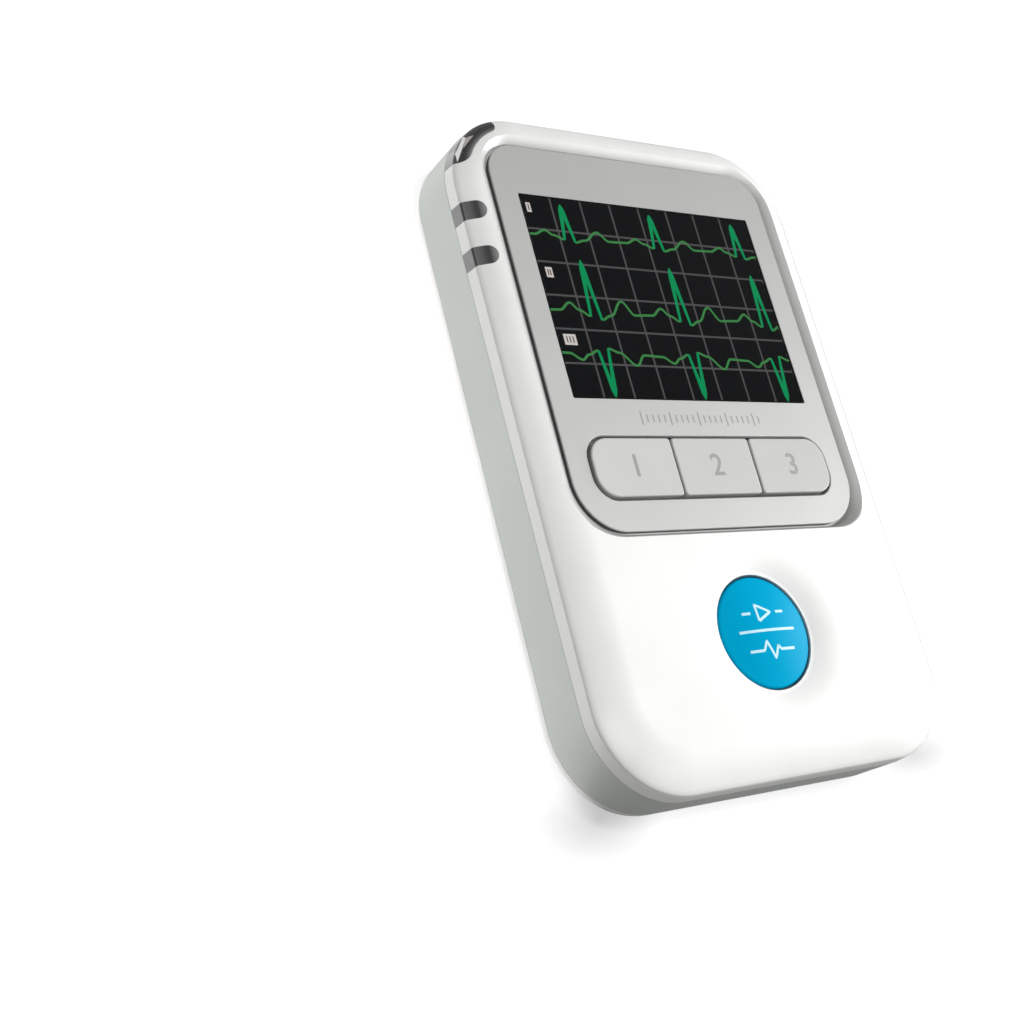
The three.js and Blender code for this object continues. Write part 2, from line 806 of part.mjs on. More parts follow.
// Contact block: hangs from the board beside the card and meets the battery's upper end.
function contactX(index) {
  return -cardX + (index - (contactCount - 1) / 2) * contactSpacing;
}

function contactBlockSpace(grow) {
  const half = contactCount * contactSpacing / 2 + grow;
  const frontY = batteryTopY + touchGap + leafThickness;
  return box(
    [-cardX - half, -cardX + half],
    [frontY - grow, frontY + contactBlockDepth + grow],
    [boardBottom - contactBlockHeight - grow, boardBottom + grow],
  );
}

function contactBlock() {
  return contactBlockSpace(0);
}

function contactLeaf() {
  const middle = (batteryBottom + batteryTop) / 2;
  return box(
    [-leafWidth / 2, leafWidth / 2],
    [batteryTopY + touchGap, batteryTopY + touchGap + leafThickness],
    [middle - leafHeight / 2, middle + leafHeight / 2],
  );
}

// Memory card and the socket that holds it under the board.
function cardSocketSpace(grow) {
  const half = cardSocketWidth / 2 + grow;
  return box(
    [cardX - half, cardX + half],
    [cardSocketTopY - cardSocketLength - grow, cardSocketTopY + Math.min(grow, slideGap)],
    [boardBottom - cardSocketHeight, boardBottom + grow],
  );
}

function cardSpace(grow) {
  const middle = boardBottom - cardSocketHeight / 2;
  const half = cardWidth / 2 + grow;
  return box(
    [cardX - half, cardX + half],
    [cardEndY - grow, cardTopY + Math.min(grow, slideGap)],
    [middle - cardThickness / 2 - grow, middle + cardThickness / 2 + grow],
  );
}

function cardSocket() {
  return cardSocketSpace(0).subtract(cardSpace(slideGap));
}

// Circuit board, with holes for its screws.
function mainBoard() {
  const length = boardTopY - boardEndY;
  const middle = (boardTopY + boardEndY) / 2;
  const points = outline(2 * boardHalfWidth, length, bossRadius, 0, middle, smallSteps);
  const holes = standoffPlaces.map(([x, y]) => {
    return rod(boardScrewRadius + slideGap, boardBottom - past, boardTop + past, x, y);
  });
  return cutAll(plate(points, boardBottom, boardTop), holes);
}

// A switch on the board with a round actuator, built about its own centre.
function pushSwitch(width, depth, top) {
  const body = box([-width / 2, width / 2], [-depth / 2, depth / 2], [boardTop, boardTop + switchBody]);
  return body.add(rod(actuatorRadius, boardTop + switchBody - touchGap, top, 0, 0, smallSides));
}

function ledBody(length) {
  return box([-ledWidth / 2, ledWidth / 2], [-length / 2, length / 2], [boardTop, boardTop + ledHeight]);
}

function chip(side) {
  return box([-side / 2, side / 2], [-side / 2, side / 2], [boardTop, boardTop + chipThickness]);
}

// A round item that stands on the board.
function disc(radius, height) {
  return rod(radius, boardTop, boardTop + height, 0, 0, discSides);
}

// Display stack: module, its flat cable, the foam frames under and over it, and the window.
function displayModule() {
  return plate(displayOutline(0), cushionTop, displayTop);
}

function displayFrame(bottom, top, innerPoints) {
  return ring(displayOutline(0), innerPoints, bottom, top);
}

function displayCushion() {
  return displayFrame(boardTop, cushionTop, displayOutline(-cushionBand));
}

function displayGasket() {
  return displayFrame(displayTop, panelBottom, screenOutline(looseGap));
}

function screenOutline(grow) {
  return outline(screenWidth + 2 * grow, screenHeight + 2 * grow, looseGap + grow, 0, screenY, smallSteps);
}

function displayWindow() {
  return plate(screenOutline(-seatGap), panelBottom, panelTop);
}

function ribbonConnectorY() {
  return displayEndY - looseGap - ribbonThickness - ribbonConnectorDepth / 2;
}

function ribbonConnector() {
  const y = ribbonConnectorY();
  return box(
    [-ribbonWidth / 2 - ribbonConnectorEnds, ribbonWidth / 2 + ribbonConnectorEnds],
    [y - ribbonConnectorDepth / 2, y + ribbonConnectorDepth / 2],
    [boardTop, boardTop + ribbonConnectorHeight],
  );
}

// The flat cable leaves the module's lower edge, bends down and ends on the connector.
function displayRibbon() {
  const high = cushionTop + ribbonRise;
  const low = boardTop + ribbonConnectorHeight;
  const connectorY = ribbonConnectorY();
  const shape = new THREE.Shape();
  shape.moveTo(displayEndY, high);
  shape.lineTo(displayEndY, high + ribbonThickness);
  shape.lineTo(connectorY + ribbonBend, high + ribbonThickness);
  const bendLevel = high + ribbonThickness - ribbonBend;
  shape.absarc(connectorY + ribbonBend, bendLevel, ribbonBend, Math.PI / 2, Math.PI, false);
  shape.lineTo(connectorY, low);
  shape.lineTo(connectorY + ribbonThickness, low);
  shape.lineTo(connectorY + ribbonThickness, bendLevel);
  const innerBend = ribbonBend - ribbonThickness;
  shape.absarc(connectorY + ribbonBend, bendLevel, innerBend, Math.PI, Math.PI / 2, true);
  const geometry = new THREE.ExtrudeGeometry(shape, {
    depth: ribbonWidth,
    bevelEnabled: false,
    curveSegments: ribbonSteps,
  });
  const [xAxis, yAxis, zAxis] = [[1, 0, 0], [0, 1, 0], [0, 0, 1]].map((v) => new THREE.Vector3(...v));
  geometry.applyMatrix4(new THREE.Matrix4().makeBasis(yAxis, zAxis, xAxis));
  geometry.translate(-ribbonWidth / 2, 0, 0);
  return solid(geometry);
}

function displayPanel() {
  return cutAll(plate(panelOutline(0), panelBottom, panelTop), [
    plate(screenOutline(0), panelBottom - past, panelTop + past),
    plate(keyRowOutline(keyGap), panelBottom - past, panelTop + past),
  ]);
}

// One key, built about its own centre: a cap with a soft edge over a retaining flange.
function keyCap(index) {
  const right = index === keyCount - 1 ? keyCornerRadius : keyInnerRadius;
  const left = index === 0 ? keyCornerRadius : keyInnerRadius;
  const capOutline = (inset) => {
    const radii = [right, left, left, right].map((radius) => radius - inset);
    return outline(keyWidth - 2 * inset, keyRowHeight - 2 * inset, radii, 0, 0, middleSteps);
  };
  const cap = loft([
    [keyFlangeTop - touchGap, capOutline(0)],
    [keyTop - keyEdge, capOutline(0)],
    [keyTop - keyEdge * edgeShare, capOutline(keyEdge * edgeShare)],
    [keyTop, capOutline(keyEdge)],
  ]);
  const leftFlange = index === 0 ? keyFlange : 0;
  const rightFlange = index === keyCount - 1 ? keyFlange : 0;
  const flange = box(
    [-keyWidth / 2 - leftFlange, keyWidth / 2 + rightFlange],
    [-keyRowHeight / 2 - keyFlange, keyRowHeight / 2 + keyFlange],
    [keyBottom, keyFlangeTop],
  );
  return cap.add(flange);
}

// Event button: a crowned cap over a flange that keeps it in its bore.
function eventButton() {
  const profile = [
    [0, buttonBottom],
    [buttonRadius + buttonFlange, buttonBottom],
    [buttonRadius + buttonFlange, buttonFlangeTop],
    [buttonRadius, buttonFlangeTop],
    [buttonRadius, buttonRim - buttonEdge],
    [buttonRadius - buttonEdge * edgeShare, buttonRim - buttonEdge * edgeShare],
  ];
  const crownRadius = buttonRadius - buttonEdge;
  for (let step = 0; step <= domeSteps; step++) {
    const share = step / domeSteps;
    profile.push([crownRadius * (1 - share), buttonRim + buttonCrown * (1 - (1 - share) ** 2)]);
  }
  return turned(profile);
}

function buttonSeal() {
  const outer = rod(sealOuterRadius, buttonSealBottom, buttonSealTop, 0, buttonY, roundSides);
  return outer.subtract(rod(sealInnerRadius, buttonSealBottom - past, faceTop, 0, buttonY, roundSides));
}

// Lead socket behind the top end wall, with its row of contacts along the cavity's floor.
function leadSocket() {
  const half = socketWidth / 2;
  const body = box([-half, half], [socketBackY, socketFrontY],
    [socketZ - socketHeight / 2, socketZ + socketHeight / 2]);
  const cavity = box(
    [-socketCavityWidth / 2, socketCavityWidth / 2],
    [socketFrontY - socketCavityDepth, socketFrontY + past],
    [socketFloor, socketFloor + socketCavityHeight],
  );
  const rowHalf = (socketContactCount * socketContactPitch) / 2;
  const slot = box(
    [-rowHalf, rowHalf],
    [socketBackY - past, socketFrontY - socketCavityDepth + touchGap],
    [socketFloor, socketFloor + socketContactThickness + slideGap],
  );
  return cutAll(body, [cavity, slot]);
}

// The contacts are held together by the bar that they are moulded into, in the socket's back wall.
function leadSocketContacts() {
  const barHalf = (socketContactCount * socketContactPitch) / 2 - slideGap;
  const contactTop = socketFloor + socketContactThickness;
  const bar = box(
    [-barHalf, barHalf],
    [socketBackY, socketFrontY - socketCavityDepth],
    [socketFloor, contactTop],
  );
  const contacts = [bar];
  for (let i = 0; i < socketContactCount; i++) {
    const x = (i - (socketContactCount - 1) / 2) * socketContactPitch;
    const xs = [x - socketContactWidth / 2, x + socketContactWidth / 2];
    const blade = box(xs, [legY, socketFrontY - looseGap], [socketFloor, contactTop]);
    const leg = box(xs, [legY, legY + socketContactThickness], [socketFloor, boardBottom]);
    contacts.push(blade.add(leg));
  }
  return joinAll(contacts);
}

// A screw with a cross slot in its head, head down, built about its own axis.
function screw({ radius, headRadius, headHeight, headBottom, tip }) {
  const seat = headBottom + headHeight;
  const head = rod(headRadius, headBottom, seat, 0, 0, middleSides);
  const shank = rod(radius, seat - touchGap, tip, 0, 0, shankSides);
  const arm = headRadius * slotArmShare;
  const slot = radius * slotWidthShare;
  const depth = [headBottom - past, headBottom + headHeight * slotDepthShare];
  const cross = box([-arm, arm], [-slot, slot], depth).add(box([-slot, slot], [-arm, arm], depth));
  return head.add(shank).subtract(cross);
}

function caseScrew() {
  return screw({
    radius: caseScrewRadius,
    headRadius: caseScrewHeadRadius,
    headHeight: caseScrewHeadHeight,
    headBottom: caseScrewSink,
    tip: bossSplit + caseScrewDepth,
  });
}

function boardScrew() {
  return screw({
    radius: boardScrewRadius,
    headRadius: boardScrewHeadRadius,
    headHeight: boardScrewHeadHeight,
    headBottom: boardBottom - boardScrewHeadHeight,
    tip: boardTop + boardScrewDepth,
  });
}

function group(...children) {
  const holder = new THREE.Group();
  holder.add(...children);
  return holder;
}

const shells = group(
  piece('front_housing', frontHousing(), whiteGloss),
  piece('side_frame', sideFrame(), greySatin),
  piece('rear_cover', rearCover(), whiteGloss),
  piece('front_seal', caseSeal(0, bandBottom - sealHeight, bandBottom), darkRubber),
  piece('rear_seal', caseSeal(0, rearTop, rearTop + sealHeight), darkRubber),
  ...bossPlaces.map(([x, y], i) => piece(`case_screw_${i + 1}`, caseScrew(), steel, [x, y, 0])),
);

const door = group(
  piece('battery_door', batteryDoor(), whiteGloss),
  piece('door_pad', doorPad(), softFoam),
);
door.position.set(0, hingeY, hingeZ);

const pinBody = crossRod(pinRadius, openingWidth / 2 + pinGrip - looseGap, 0, 0);
const batteryBay = group(
  piece('battery_tray', batteryTray(), blackPlastic),
  piece('battery_pack', batteryPack(), packGrey),
  piece('battery_contact_block', contactBlock(), blackPlastic),
  piece('door_hinge_pin', pinBody, steel, [0, hingeY, hingeZ]),
  piece('card_socket', cardSocket(), steel),
  piece('memory_card', cardSpace(0), chipBlack),
  door,
);

for (let i = 0; i < contactCount; i++) {
  batteryBay.add(piece(`battery_contact_${i + 1}`, contactLeaf(), gold, [contactX(i), 0, 0]));
}

const electronics = group(
  piece('main_board', mainBoard(), boardGreen),
  ...standoffPlaces.map(([x, y], i) => piece(`board_screw_${i + 1}`, boardScrew(), steel, [x, y, 0])),
  piece('processor_chip', chip(processorSide), chipBlack, [processorSide, displayY, 0]),
  piece('signal_chip', chip(frontEndSide), chipBlack, [-processorSide, displayY, 0]),
  piece('buzzer', disc(buzzerRadius, buzzerHeight), blackPlastic, [-sideItemX, sideItemY, 0]),
  piece('clock_cell', disc(clockCellRadius, clockCellHeight), steel, [sideItemX, sideItemY, 0]),
  piece('event_switch', pushSwitch(switchSide, switchSide, switchTop), blackPlastic, [0, buttonY, 0]),
  piece('ribbon_connector', ribbonConnector(), blackPlastic),
  piece('corner_led', ledBody(ledLength), ledWhite, [ledX, cornerLedY, 0]),
  piece('status_led_upper', ledBody(ledLength), ledWhite, [ledX, windowYs[0], 0]),
  piece('status_led_lower', ledBody(ledLength), ledWhite, [ledX, windowYs[1], 0]),
  piece('lead_socket', leadSocket(), blackPlastic),
  piece('lead_socket_contacts', leadSocketContacts(), gold),
);

const display = group(
  piece('display_cushion', displayCushion(), softFoam),
  piece('display_module', displayModule(), displayBlack),
  piece('display_ribbon', displayRibbon(), amberFilm),
  piece('display_gasket', displayGasket(), softFoam),
  piece('display_window', displayWindow(), clearWindow),
  piece('display_panel', displayPanel(), panelGrey),
);

const lights = group(
  piece('corner_lens', windowBody(lensSpace(0, frontLipBottom)), smokeClear),
  piece('status_window_upper', windowBody(windowSpace(windowYs[0], 0, frontLipBottom)), smokeClear),
  piece('status_window_lower', windowBody(windowSpace(windowYs[1], 0, frontLipBottom)), smokeClear),
);

const controls = group(
  piece('event_button', eventButton(), eventBlue, [0, buttonY, 0]),
  piece('button_seal', buttonSeal(), darkRubber),
);

for (let i = 0; i < keyCount; i++) {
  const x = (i - (keyCount - 1) / 2) * (keyWidth + keyGap);
  const keySwitch = pushSwitch(keySwitchWidth, keySwitchDepth, keySwitchTop);
  controls.add(piece(`key_${i + 1}`, keyCap(i), keyGrey, [x, keyY, 0]));
  electronics.add(piece(`key_switch_${i + 1}`, keySwitch, blackPlastic, [x, keyY, 0]));
}

const recorder = group(shells, batteryBay, electronics, display, lights, controls);
recorder.name = 'holter_monitor';

export default recorder;
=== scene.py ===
"""The looks of a holter monitor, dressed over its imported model.

Shapes are worked out in millimetres, in the model's own frame, and turned into metres when a
piece is finished. The recorder lies on its back: X is its width, Y runs to its top end, Z is up.
"""

import json
import math

import bmesh
import bpy
from mathutils import Matrix, Vector


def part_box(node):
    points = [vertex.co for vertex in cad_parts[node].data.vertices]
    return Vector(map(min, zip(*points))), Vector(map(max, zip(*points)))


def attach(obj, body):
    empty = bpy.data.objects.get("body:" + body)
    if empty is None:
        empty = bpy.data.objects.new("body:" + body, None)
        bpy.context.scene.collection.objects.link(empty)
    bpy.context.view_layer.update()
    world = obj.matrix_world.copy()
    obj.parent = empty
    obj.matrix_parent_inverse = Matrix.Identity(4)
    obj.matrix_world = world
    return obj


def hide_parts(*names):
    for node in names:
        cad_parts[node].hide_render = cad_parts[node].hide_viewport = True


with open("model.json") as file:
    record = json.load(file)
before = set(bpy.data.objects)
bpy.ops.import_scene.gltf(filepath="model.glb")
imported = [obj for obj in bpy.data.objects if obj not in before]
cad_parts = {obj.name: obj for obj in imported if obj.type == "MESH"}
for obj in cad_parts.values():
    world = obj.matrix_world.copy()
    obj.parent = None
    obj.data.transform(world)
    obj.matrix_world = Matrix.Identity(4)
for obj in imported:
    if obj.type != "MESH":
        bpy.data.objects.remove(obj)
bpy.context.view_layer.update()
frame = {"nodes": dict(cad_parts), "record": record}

MM = 0.001
# How far a cutting tool reaches past its work, and how far joined solids overlap
PAST = 2.0
OVERLAP = 0.1
LEAST_RADIUS = 0.02

# How finely round shapes are divided
CORNER_STEPS = 24
SMALL_STEPS = 8
EDGE_STEPS = 6
DOME_STEPS = 28
ROUND_SIDES = 160
SCREW_SIDES = 48
BARREL_SIDES = 64

# Surfaces: the angles from which an edge stays sharp or is rounded, the mottling and the grain
SMOOTH_ANGLE = 32
SOFT_EDGE_ANGLE = 40
MOTTLE_SCALE = 90.0
MOTTLE_RANGE = (0.35, 0.65)
GLOSS_SPREAD = 0.1
GRAIN_DEPTH = 0.00003

# Case shells
CORNER_RADIUS = 12.0
CASE_WALL = 2.0
LIP_INSET = 3.2
LIP_OUTER = 2.1
LIP_HEIGHT = 1.0
PARTING_EDGE = 0.06
BAND_LEAN = 0.22
CREASE_BELOW_FACE = 1.85
CREASE_FOOT = 0.15
CREASE_HEIGHT = 0.1
CREASE_DEPTH = 0.06
CREASE_LIP = 0.02
SHOULDER_RADIUS = 0.4
SHOULDER_TILT = 80.0
DOME_INSET = 0.45
DOME_REACH = 5.8
REAR_EDGE_RADIUS = 3.0
SHELL_ROOF = 0.8
BOSS_RADIUS = 2.6
BOSS_SPLIT = 4.5
BOSS_GAP = 0.02
STANDOFF_RADIUS = 2.0
SCREW_CLEAR = 1.0
SCREW_HOLE = 5.3
BOARD_SCREW_CLEAR = 0.9
BOARD_SCREW_HOLE = 2.1
DISPLAY_ROOM = 0.3
SOCKET_ROOM = 0.3
MOUTH_WIDTH = 19.4
MOUTH_HEIGHT = 5.0
MOUTH_RADIUS = 0.6
MOUTH_EDGE = 0.3

# Back and door
BACK_WALL = 1.3
OPENING_GAP = 0.3
OPENING_END_RADIUS = 0.3
EAR_WIDTH = 3.3
EAR_RADIUS = 0.3
BARREL_RADIUS = 1.5
PIN_SEAT = 0.55
PIN_SEAT_WALL = 0.3
PIN_HOLE = 0.65
SCOOP_RADIUS = 7.0
SCOOP_DEPTH = 0.8
SCOOP_START = 0.3
SCREW_HEAD_ROOM = 2.1
SCREW_SINK = 1.45
# The rounded mouth of a screw's sink: how much wider it is, and at which level
SINK_MOUTH = [(0.35, -PAST), (0.25, 0), (0.05, 0.12), (0, 0.3)]
DOOR_RADIUS = 2.0
DOOR_END_RADIUS = 0.4
DOOR_EDGE = 0.15
GRIP_COUNT = 5
GRIP_SPACING = 1.6
GRIP_WIDTH = 0.7
GRIP_DEPTH = 0.35
SNAP_LENGTH = 8.0
SNAP_FROM_END = 20.0
SNAP_ROOT = 0.2
SNAP_RISE = 0.15
SNAP_LEVELS = (0.65, 1.25)

# Screws
HEAD_HEIGHT = 1.2
# The rounded face of a screw's head: shares of its radius, and heights from its face
HEAD_ROUND = [(0.7, 0), (0.92, 0.08), (1, 0.28)]
SHANK_RADIUS = 0.9
SHANK_TIP_RADIUS = 0.3
SHANK_TIP = 0.5
CROSS_SHARE = 0.6
CROSS_HALF_WIDTH = 0.28
CROSS_DEPTH = 0.6
CROSS_RADIUS = 0.05

# Panel and keys
PANEL_TOP_RADIUS = 5.0
PANEL_END_RADIUS = 7.0
PANEL_GAP = 0.34
PANEL_SHEET = 0.25
PANEL_EDGE = 0.12
BACKING_INSET = 0.04
HOLE_EDGE = 0.1
SLOPE_TILT = 32.0
SLOPE_ROLL = 1.0
SLOPE_FOOT_DROP = 0.4
SLOPE_END_SHARE = 0.3
LINING_SKIN = 0.02
KEY_SURROUND = 0.45
KEY_FLANGE = 0.8
KEY_GAP = 0.3
KEY_RADIUS = 3.0
KEY_INNER_RADIUS = 0.5
KEY_EDGE = 0.22
PRINT_THICKNESS = 0.012
NUMERAL_HEIGHT = 4.4
NUMERAL_WEIGHT = 0.05
SCALE_WIDTH = 21.0
SCALE_TICKS = 22
SCALE_GROUP = 5
SCALE_BELOW_SCREEN = 2.9
TICK_HALF = 0.55
LONG_TICK_HALF = 0.99
TICK_WIDTH = 0.22

# Screen
SCREEN_MARGIN = 0.15
SCREEN_RADIUS = 0.1
SCREEN_RIM = 0.13
SCREEN_RIM_DROP = 0.05
SCREEN_PLAY = 0.01
GLASS_THICKNESS = 0.3
GLASS_EDGE = 0.06
PICTURE_DROP = 0.1
GRID_COLUMNS = 8
GRID_ROWS = 6
GRID_WIDTH = 0.3
TRACE_WIDTH = 0.34
SPIKE_WIDTHS = [0.4, 0.74, 0.3]
SPIKE_BODY_SHARE = 0.86
BEAT_PITCH = 0.381
# A heartbeat: its share of the pitch, and its level as a share of the spike's height
BEAT = [(0.0, 0.0), (0.12, 0.15), (0.2, 0.02), (0.31, -0.09), (0.36, 1.0), (0.42, -0.15), (0.53, -0.06),
        (0.69, 0.24), (0.8, -0.02)]
SPIKE = BEAT[3:6]
# Each lane: baseline from the top, spike height, and where its first beat starts, as shares
LANES = [(0.195, 0.167, 0.024), (0.573, 0.26, 0.044), (0.785, -0.205, 0.035)]
# Each lane's tag: its sides across and down, as shares of the screen
TAGS = [(0.020, 0.038, 0.034, 0.083), (0.028, 0.055, 0.362, 0.413), (0.027, 0.076, 0.693, 0.746)]
TAG_BAR_WIDTH = 0.16
TAG_BAR_SHARE = 0.6

# Event button, its marks and its seal
BUTTON_RADIUS = 7.5
BUTTON_CROWN = 0.8
BUTTON_EDGE = 0.4
BUTTON_EDGE_TURN = 0.85 * math.pi / 2
BUTTON_FLANGE = 0.7
DISH_RADIUS = 14.5
DISH_DEPTH = 0.85
DISH_RIM = 0.15
BORE_RADIUS = 7.8
SEAL_WIDTH = 0.4
SEAL_FIT = 0.04
SEAL_EDGE = 0.1
MARK_STROKE = 0.36
MARK_STEPS = 10
# The marks, from the button's middle: a line, a start triangle between two bars, and a pulse
MARKS = [
    [(-4.8, 0), (4.8, 0)],
    [(-1.1, 1.3), (-1.1, 3.5), (1.2, 2.4), (-1.1, 1.3)],
    [(-3.6, 2.4), (-2.2, 2.4)],
    [(2.2, 2.4), (3.6, 2.4)],
    [(-3.9, -2.6), (-1.6, -2.6), (-0.9, -1.4), (0.1, -3.7), (0.9, -2.1), (1.4, -2.6), (3.9, -2.6)],
]

# Status windows, corner lens and the painted highlight that shows on the lens
WINDOW_WIDTH = 2.6
WINDOW_REACH = 3.2
LENS_REACH = 2.1
LENS_START = 17.5
LENS_END = 73.5
LENS_FILLET = 2.6
LENS_END_FILLET = 2.0
LENS_GAP = 0.04
HIGHLIGHT_SKIN = 0.015
# The painted highlight's two faces: corners as degrees round the case's corner and distances from its
# centre
HIGHLIGHT_FACE = [(19, 11.35), (26, 11.75), (44, 11.8), (43, 11.4), (28, 11.15)]
HIGHLIGHT_SIDE = [(43, 11.45), (49, 10.85), (32, 11.05)]

# Camera: its place in metres, its lens and sensor in millimetres
CAMERA_PLACE = Vector((-0.13247, -0.06138, 0.14508))
CAMERA_FORWARD = Vector((0.56954, 0.29467, -0.76733))
CAMERA_UP = Vector((0.02625, 0.92654, 0.37529))
CAMERA_LENS = 50.99
CAMERA_SENSOR = 36.0

# Studio, in metres: each lamp's place, with its power
LAMP_SIZE = 0.3
LAMPS = {
    "low_right": ((0.5, 0.0, 0.2), 3.05), "high": ((-0.1, -0.1, 0.6), 1.41),
    "high_front": ((0.15, -0.3, 0.5), 0.71), "high_back": ((0.1, 0.3, 0.5), 0.66),
}
WORLD_LIGHT = 0.18
FLOOR_REACH = 4
SEEN_FLOOR_LEVEL = -0.00006
LIT_FLOOR_LEVEL = -0.00004
FLOOR_GLOW = 1.05
# The darkening where the case stands, in millimetres: it fades out over the left edge
CONTACT_REACH = 2.5
CONTACT_DEPTH = 0.35
CONTACT_START = -30.0
CONTACT_END = -25.0
# Each soft shade on the floor, in millimetres: its middle, its half sizes, and its depth
SHADES = [((-23.5, -46.5), (10.0, 5.5), 0.38), ((35.0, -45.5), (9.0, 3.5), 0.28)]


def box_mm(node):
    low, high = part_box(node)
    return low / MM, high / MM


def middle(node):
    """The middle of a node's box, seen from above."""
    low, high = box_mm(node)
    return (low.x + high.x) / 2, (low.y + high.y) / 2


def room_round(node, gap):
    """The sides of a node's box along each axis, with a gap all round."""
    low, high = box_mm(node)
    return [(low[i] - gap, high[i] + gap) for i in range(3)]


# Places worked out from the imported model
case_low, case_high = box_mm("side_frame")
panel_low, panel_high = box_mm("display_panel")
window_low, window_high = box_mm("display_window")
first_key_low, first_key_high = box_mm("key_1")
last_key_high = box_mm("key_3")[1]
button_low, button_high = box_mm("event_button")
seal_low, seal_high = box_mm("button_seal")
door_low, door_high = box_mm("battery_door")
pin_low, pin_high = box_mm("door_hinge_pin")

side_x = case_high.x
end_y = case_high.y
corner_x = -side_x + CORNER_RADIUS
corner_y = end_y - CORNER_RADIUS
face_z = box_mm("front_housing")[1].z
band_bottom = case_high.z
rear_top = case_low.z
crease_z = face_z - CREASE_BELOW_FACE
panel_y = middle("display_panel")[1]
panel_width = panel_high.x - panel_low.x
panel_length = panel_high.y - panel_low.y
panel_top = panel_high.z
panel_bottom = panel_low.z
slope_foot = panel_top - SLOPE_FOOT_DROP
roof_z = panel_bottom - SHELL_ROOF
board_top = box_mm("main_board")[1].z
screen_y = middle("display_window")[1]
screen_width = window_high.x - window_low.x
screen_height = window_high.y - window_low.y
picture_top = panel_top - GLASS_THICKNESS - PICTURE_DROP
key_row_low_x = first_key_low.x + KEY_FLANGE
key_row_width = last_key_high.x - KEY_FLANGE - key_row_low_x
key_row_y = middle("key_1")[1]
key_row_height = first_key_high.y - first_key_low.y - 2 * KEY_FLANGE
key_width = (key_row_width - 2 * KEY_GAP) / 3
key_top = first_key_high.z - PRINT_THICKNESS
button_y = middle("event_button")[1]
button_rim = button_high.z - BUTTON_CROWN
window_tip_x = -side_x + WINDOW_REACH
door_width = door_high.x - door_low.x - 2 * SNAP_RISE
hinge_y = middle("door_hinge_pin")[1]
hinge_z = (pin_low.z + pin_high.z) / 2
window_ys = [middle(f"status_window_{name}")[1] for name in ("upper", "lower")]
screw_places = [middle(f"case_screw_{i}") for i in range(1, 5)]
board_screw_places = [middle(f"board_screw_{i}") for i in range(1, 5)]


# Outlines

def arc(centre, radius, start, end, steps):
    return [(centre[0] + radius * math.cos(start + (end - start) * i / steps),
             centre[1] + radius * math.sin(start + (end - start) * i / steps)) for i in range(steps + 1)]


def rounded(width, length, radii, centre=(0.0, 0.0), steps=CORNER_STEPS, grow=0.0):
    """Points of a rounded rectangle, grown all round, anticlockwise from its upper right corner.

    It has one radius, or a list with one for each corner.
    """
    if not isinstance(radii, list):
        radii = [radii] * 4
    points = []
    for corner, (sideways, lengthways) in enumerate(((1, 1), (-1, 1), (-1, -1), (1, -1))):
        radius = max(radii[corner] + grow, LEAST_RADIUS)
        x = centre[0] + sideways * (width / 2 + grow - radius)
        y = centre[1] + lengthways * (length / 2 + grow - radius)
        points += arc((x, y), radius, corner * math.pi / 2, (corner + 1) * math.pi / 2, steps)
    return points


def body_outline(inset):
    return rounded(2 * side_x, 2 * end_y, CORNER_RADIUS, grow=-inset)


def panel_outline(grow):
    top, end = PANEL_TOP_RADIUS, PANEL_END_RADIUS
    return rounded(panel_width, panel_length, [top, top, end, end], (0, panel_y), grow=grow)


def pocket_outline(grow):
    """The panel's outline grown for the slope round it, which is steeper at the lower end."""
    end_grow = PANEL_GAP + (grow - PANEL_GAP) * SLOPE_END_SHARE
    top, end = PANEL_TOP_RADIUS + grow, PANEL_END_RADIUS + end_grow
    centre = (0, panel_y + (grow - end_grow) / 2)
    return rounded(panel_width + 2 * grow, panel_length + grow + end_grow, [top, top, end, end], centre)


def screen_outline(grow):
    return rounded(screen_width, screen_height, SCREEN_RADIUS, (0, screen_y), SMALL_STEPS, grow)


def key_row_outline(grow):
    return rounded(key_row_width, key_row_height, KEY_RADIUS, (0, key_row_y), grow=grow)


def window_outline(y, grow):
    """A status window: round at its inner end, and open over the left edge."""
    radius = WINDOW_WIDTH / 2 + grow
    tip = arc((window_tip_x - WINDOW_WIDTH / 2, y), radius, -math.pi / 2, math.pi / 2, CORNER_STEPS)
    return [(-side_x - PAST, y - radius)] + tip + [(-side_x - PAST, y + radius)]


def lens_outline(grow):
    """A sector of the corner, with filleted inner corners."""
    inner = CORNER_RADIUS - LENS_REACH - grow
    spread = grow / CORNER_RADIUS
    start, end = math.radians(LENS_START) - spread, math.radians(LENS_END) + spread
    outer = CORNER_RADIUS + PAST
    corner = (corner_x, corner_y)

    def at(radius, angle):
        return corner_x - radius * math.cos(angle), corner_y + radius * math.sin(angle)

    def turn_of(fillet):
        return math.asin(fillet / (inner + fillet))

    first, last = turn_of(LENS_FILLET), turn_of(LENS_END_FILLET)
    points = [at(outer, start)]
    points += arc(at(inner + LENS_FILLET, start + first), LENS_FILLET,
                  -math.pi / 2 - start, -start - first, SMALL_STEPS)
    points += arc(corner, inner, math.pi - start - first, math.pi - end + last, CORNER_STEPS)[1:-1]
    points += arc(at(inner + LENS_END_FILLET, end - last), LENS_END_FILLET,
                  -end + last, math.pi / 2 - end, SMALL_STEPS)
    return points + arc(corner, outer, math.pi - end, math.pi - start, CORNER_STEPS)[:-1]


# Shape helpers

def linked(name, data):
    obj = bpy.data.objects.new(name, data)
    bpy.context.scene.collection.objects.link(obj)
    return obj


def thing(body, closed=True):
    """Links a bmesh to the scene as an object, the faces of a closed form turned outwards."""
    if closed:
        bmesh.ops.recalc_face_normals(body, faces=body.faces)
    mesh = bpy.data.meshes.new("form")
    body.to_mesh(mesh)
    body.free()
    return linked("form", mesh)


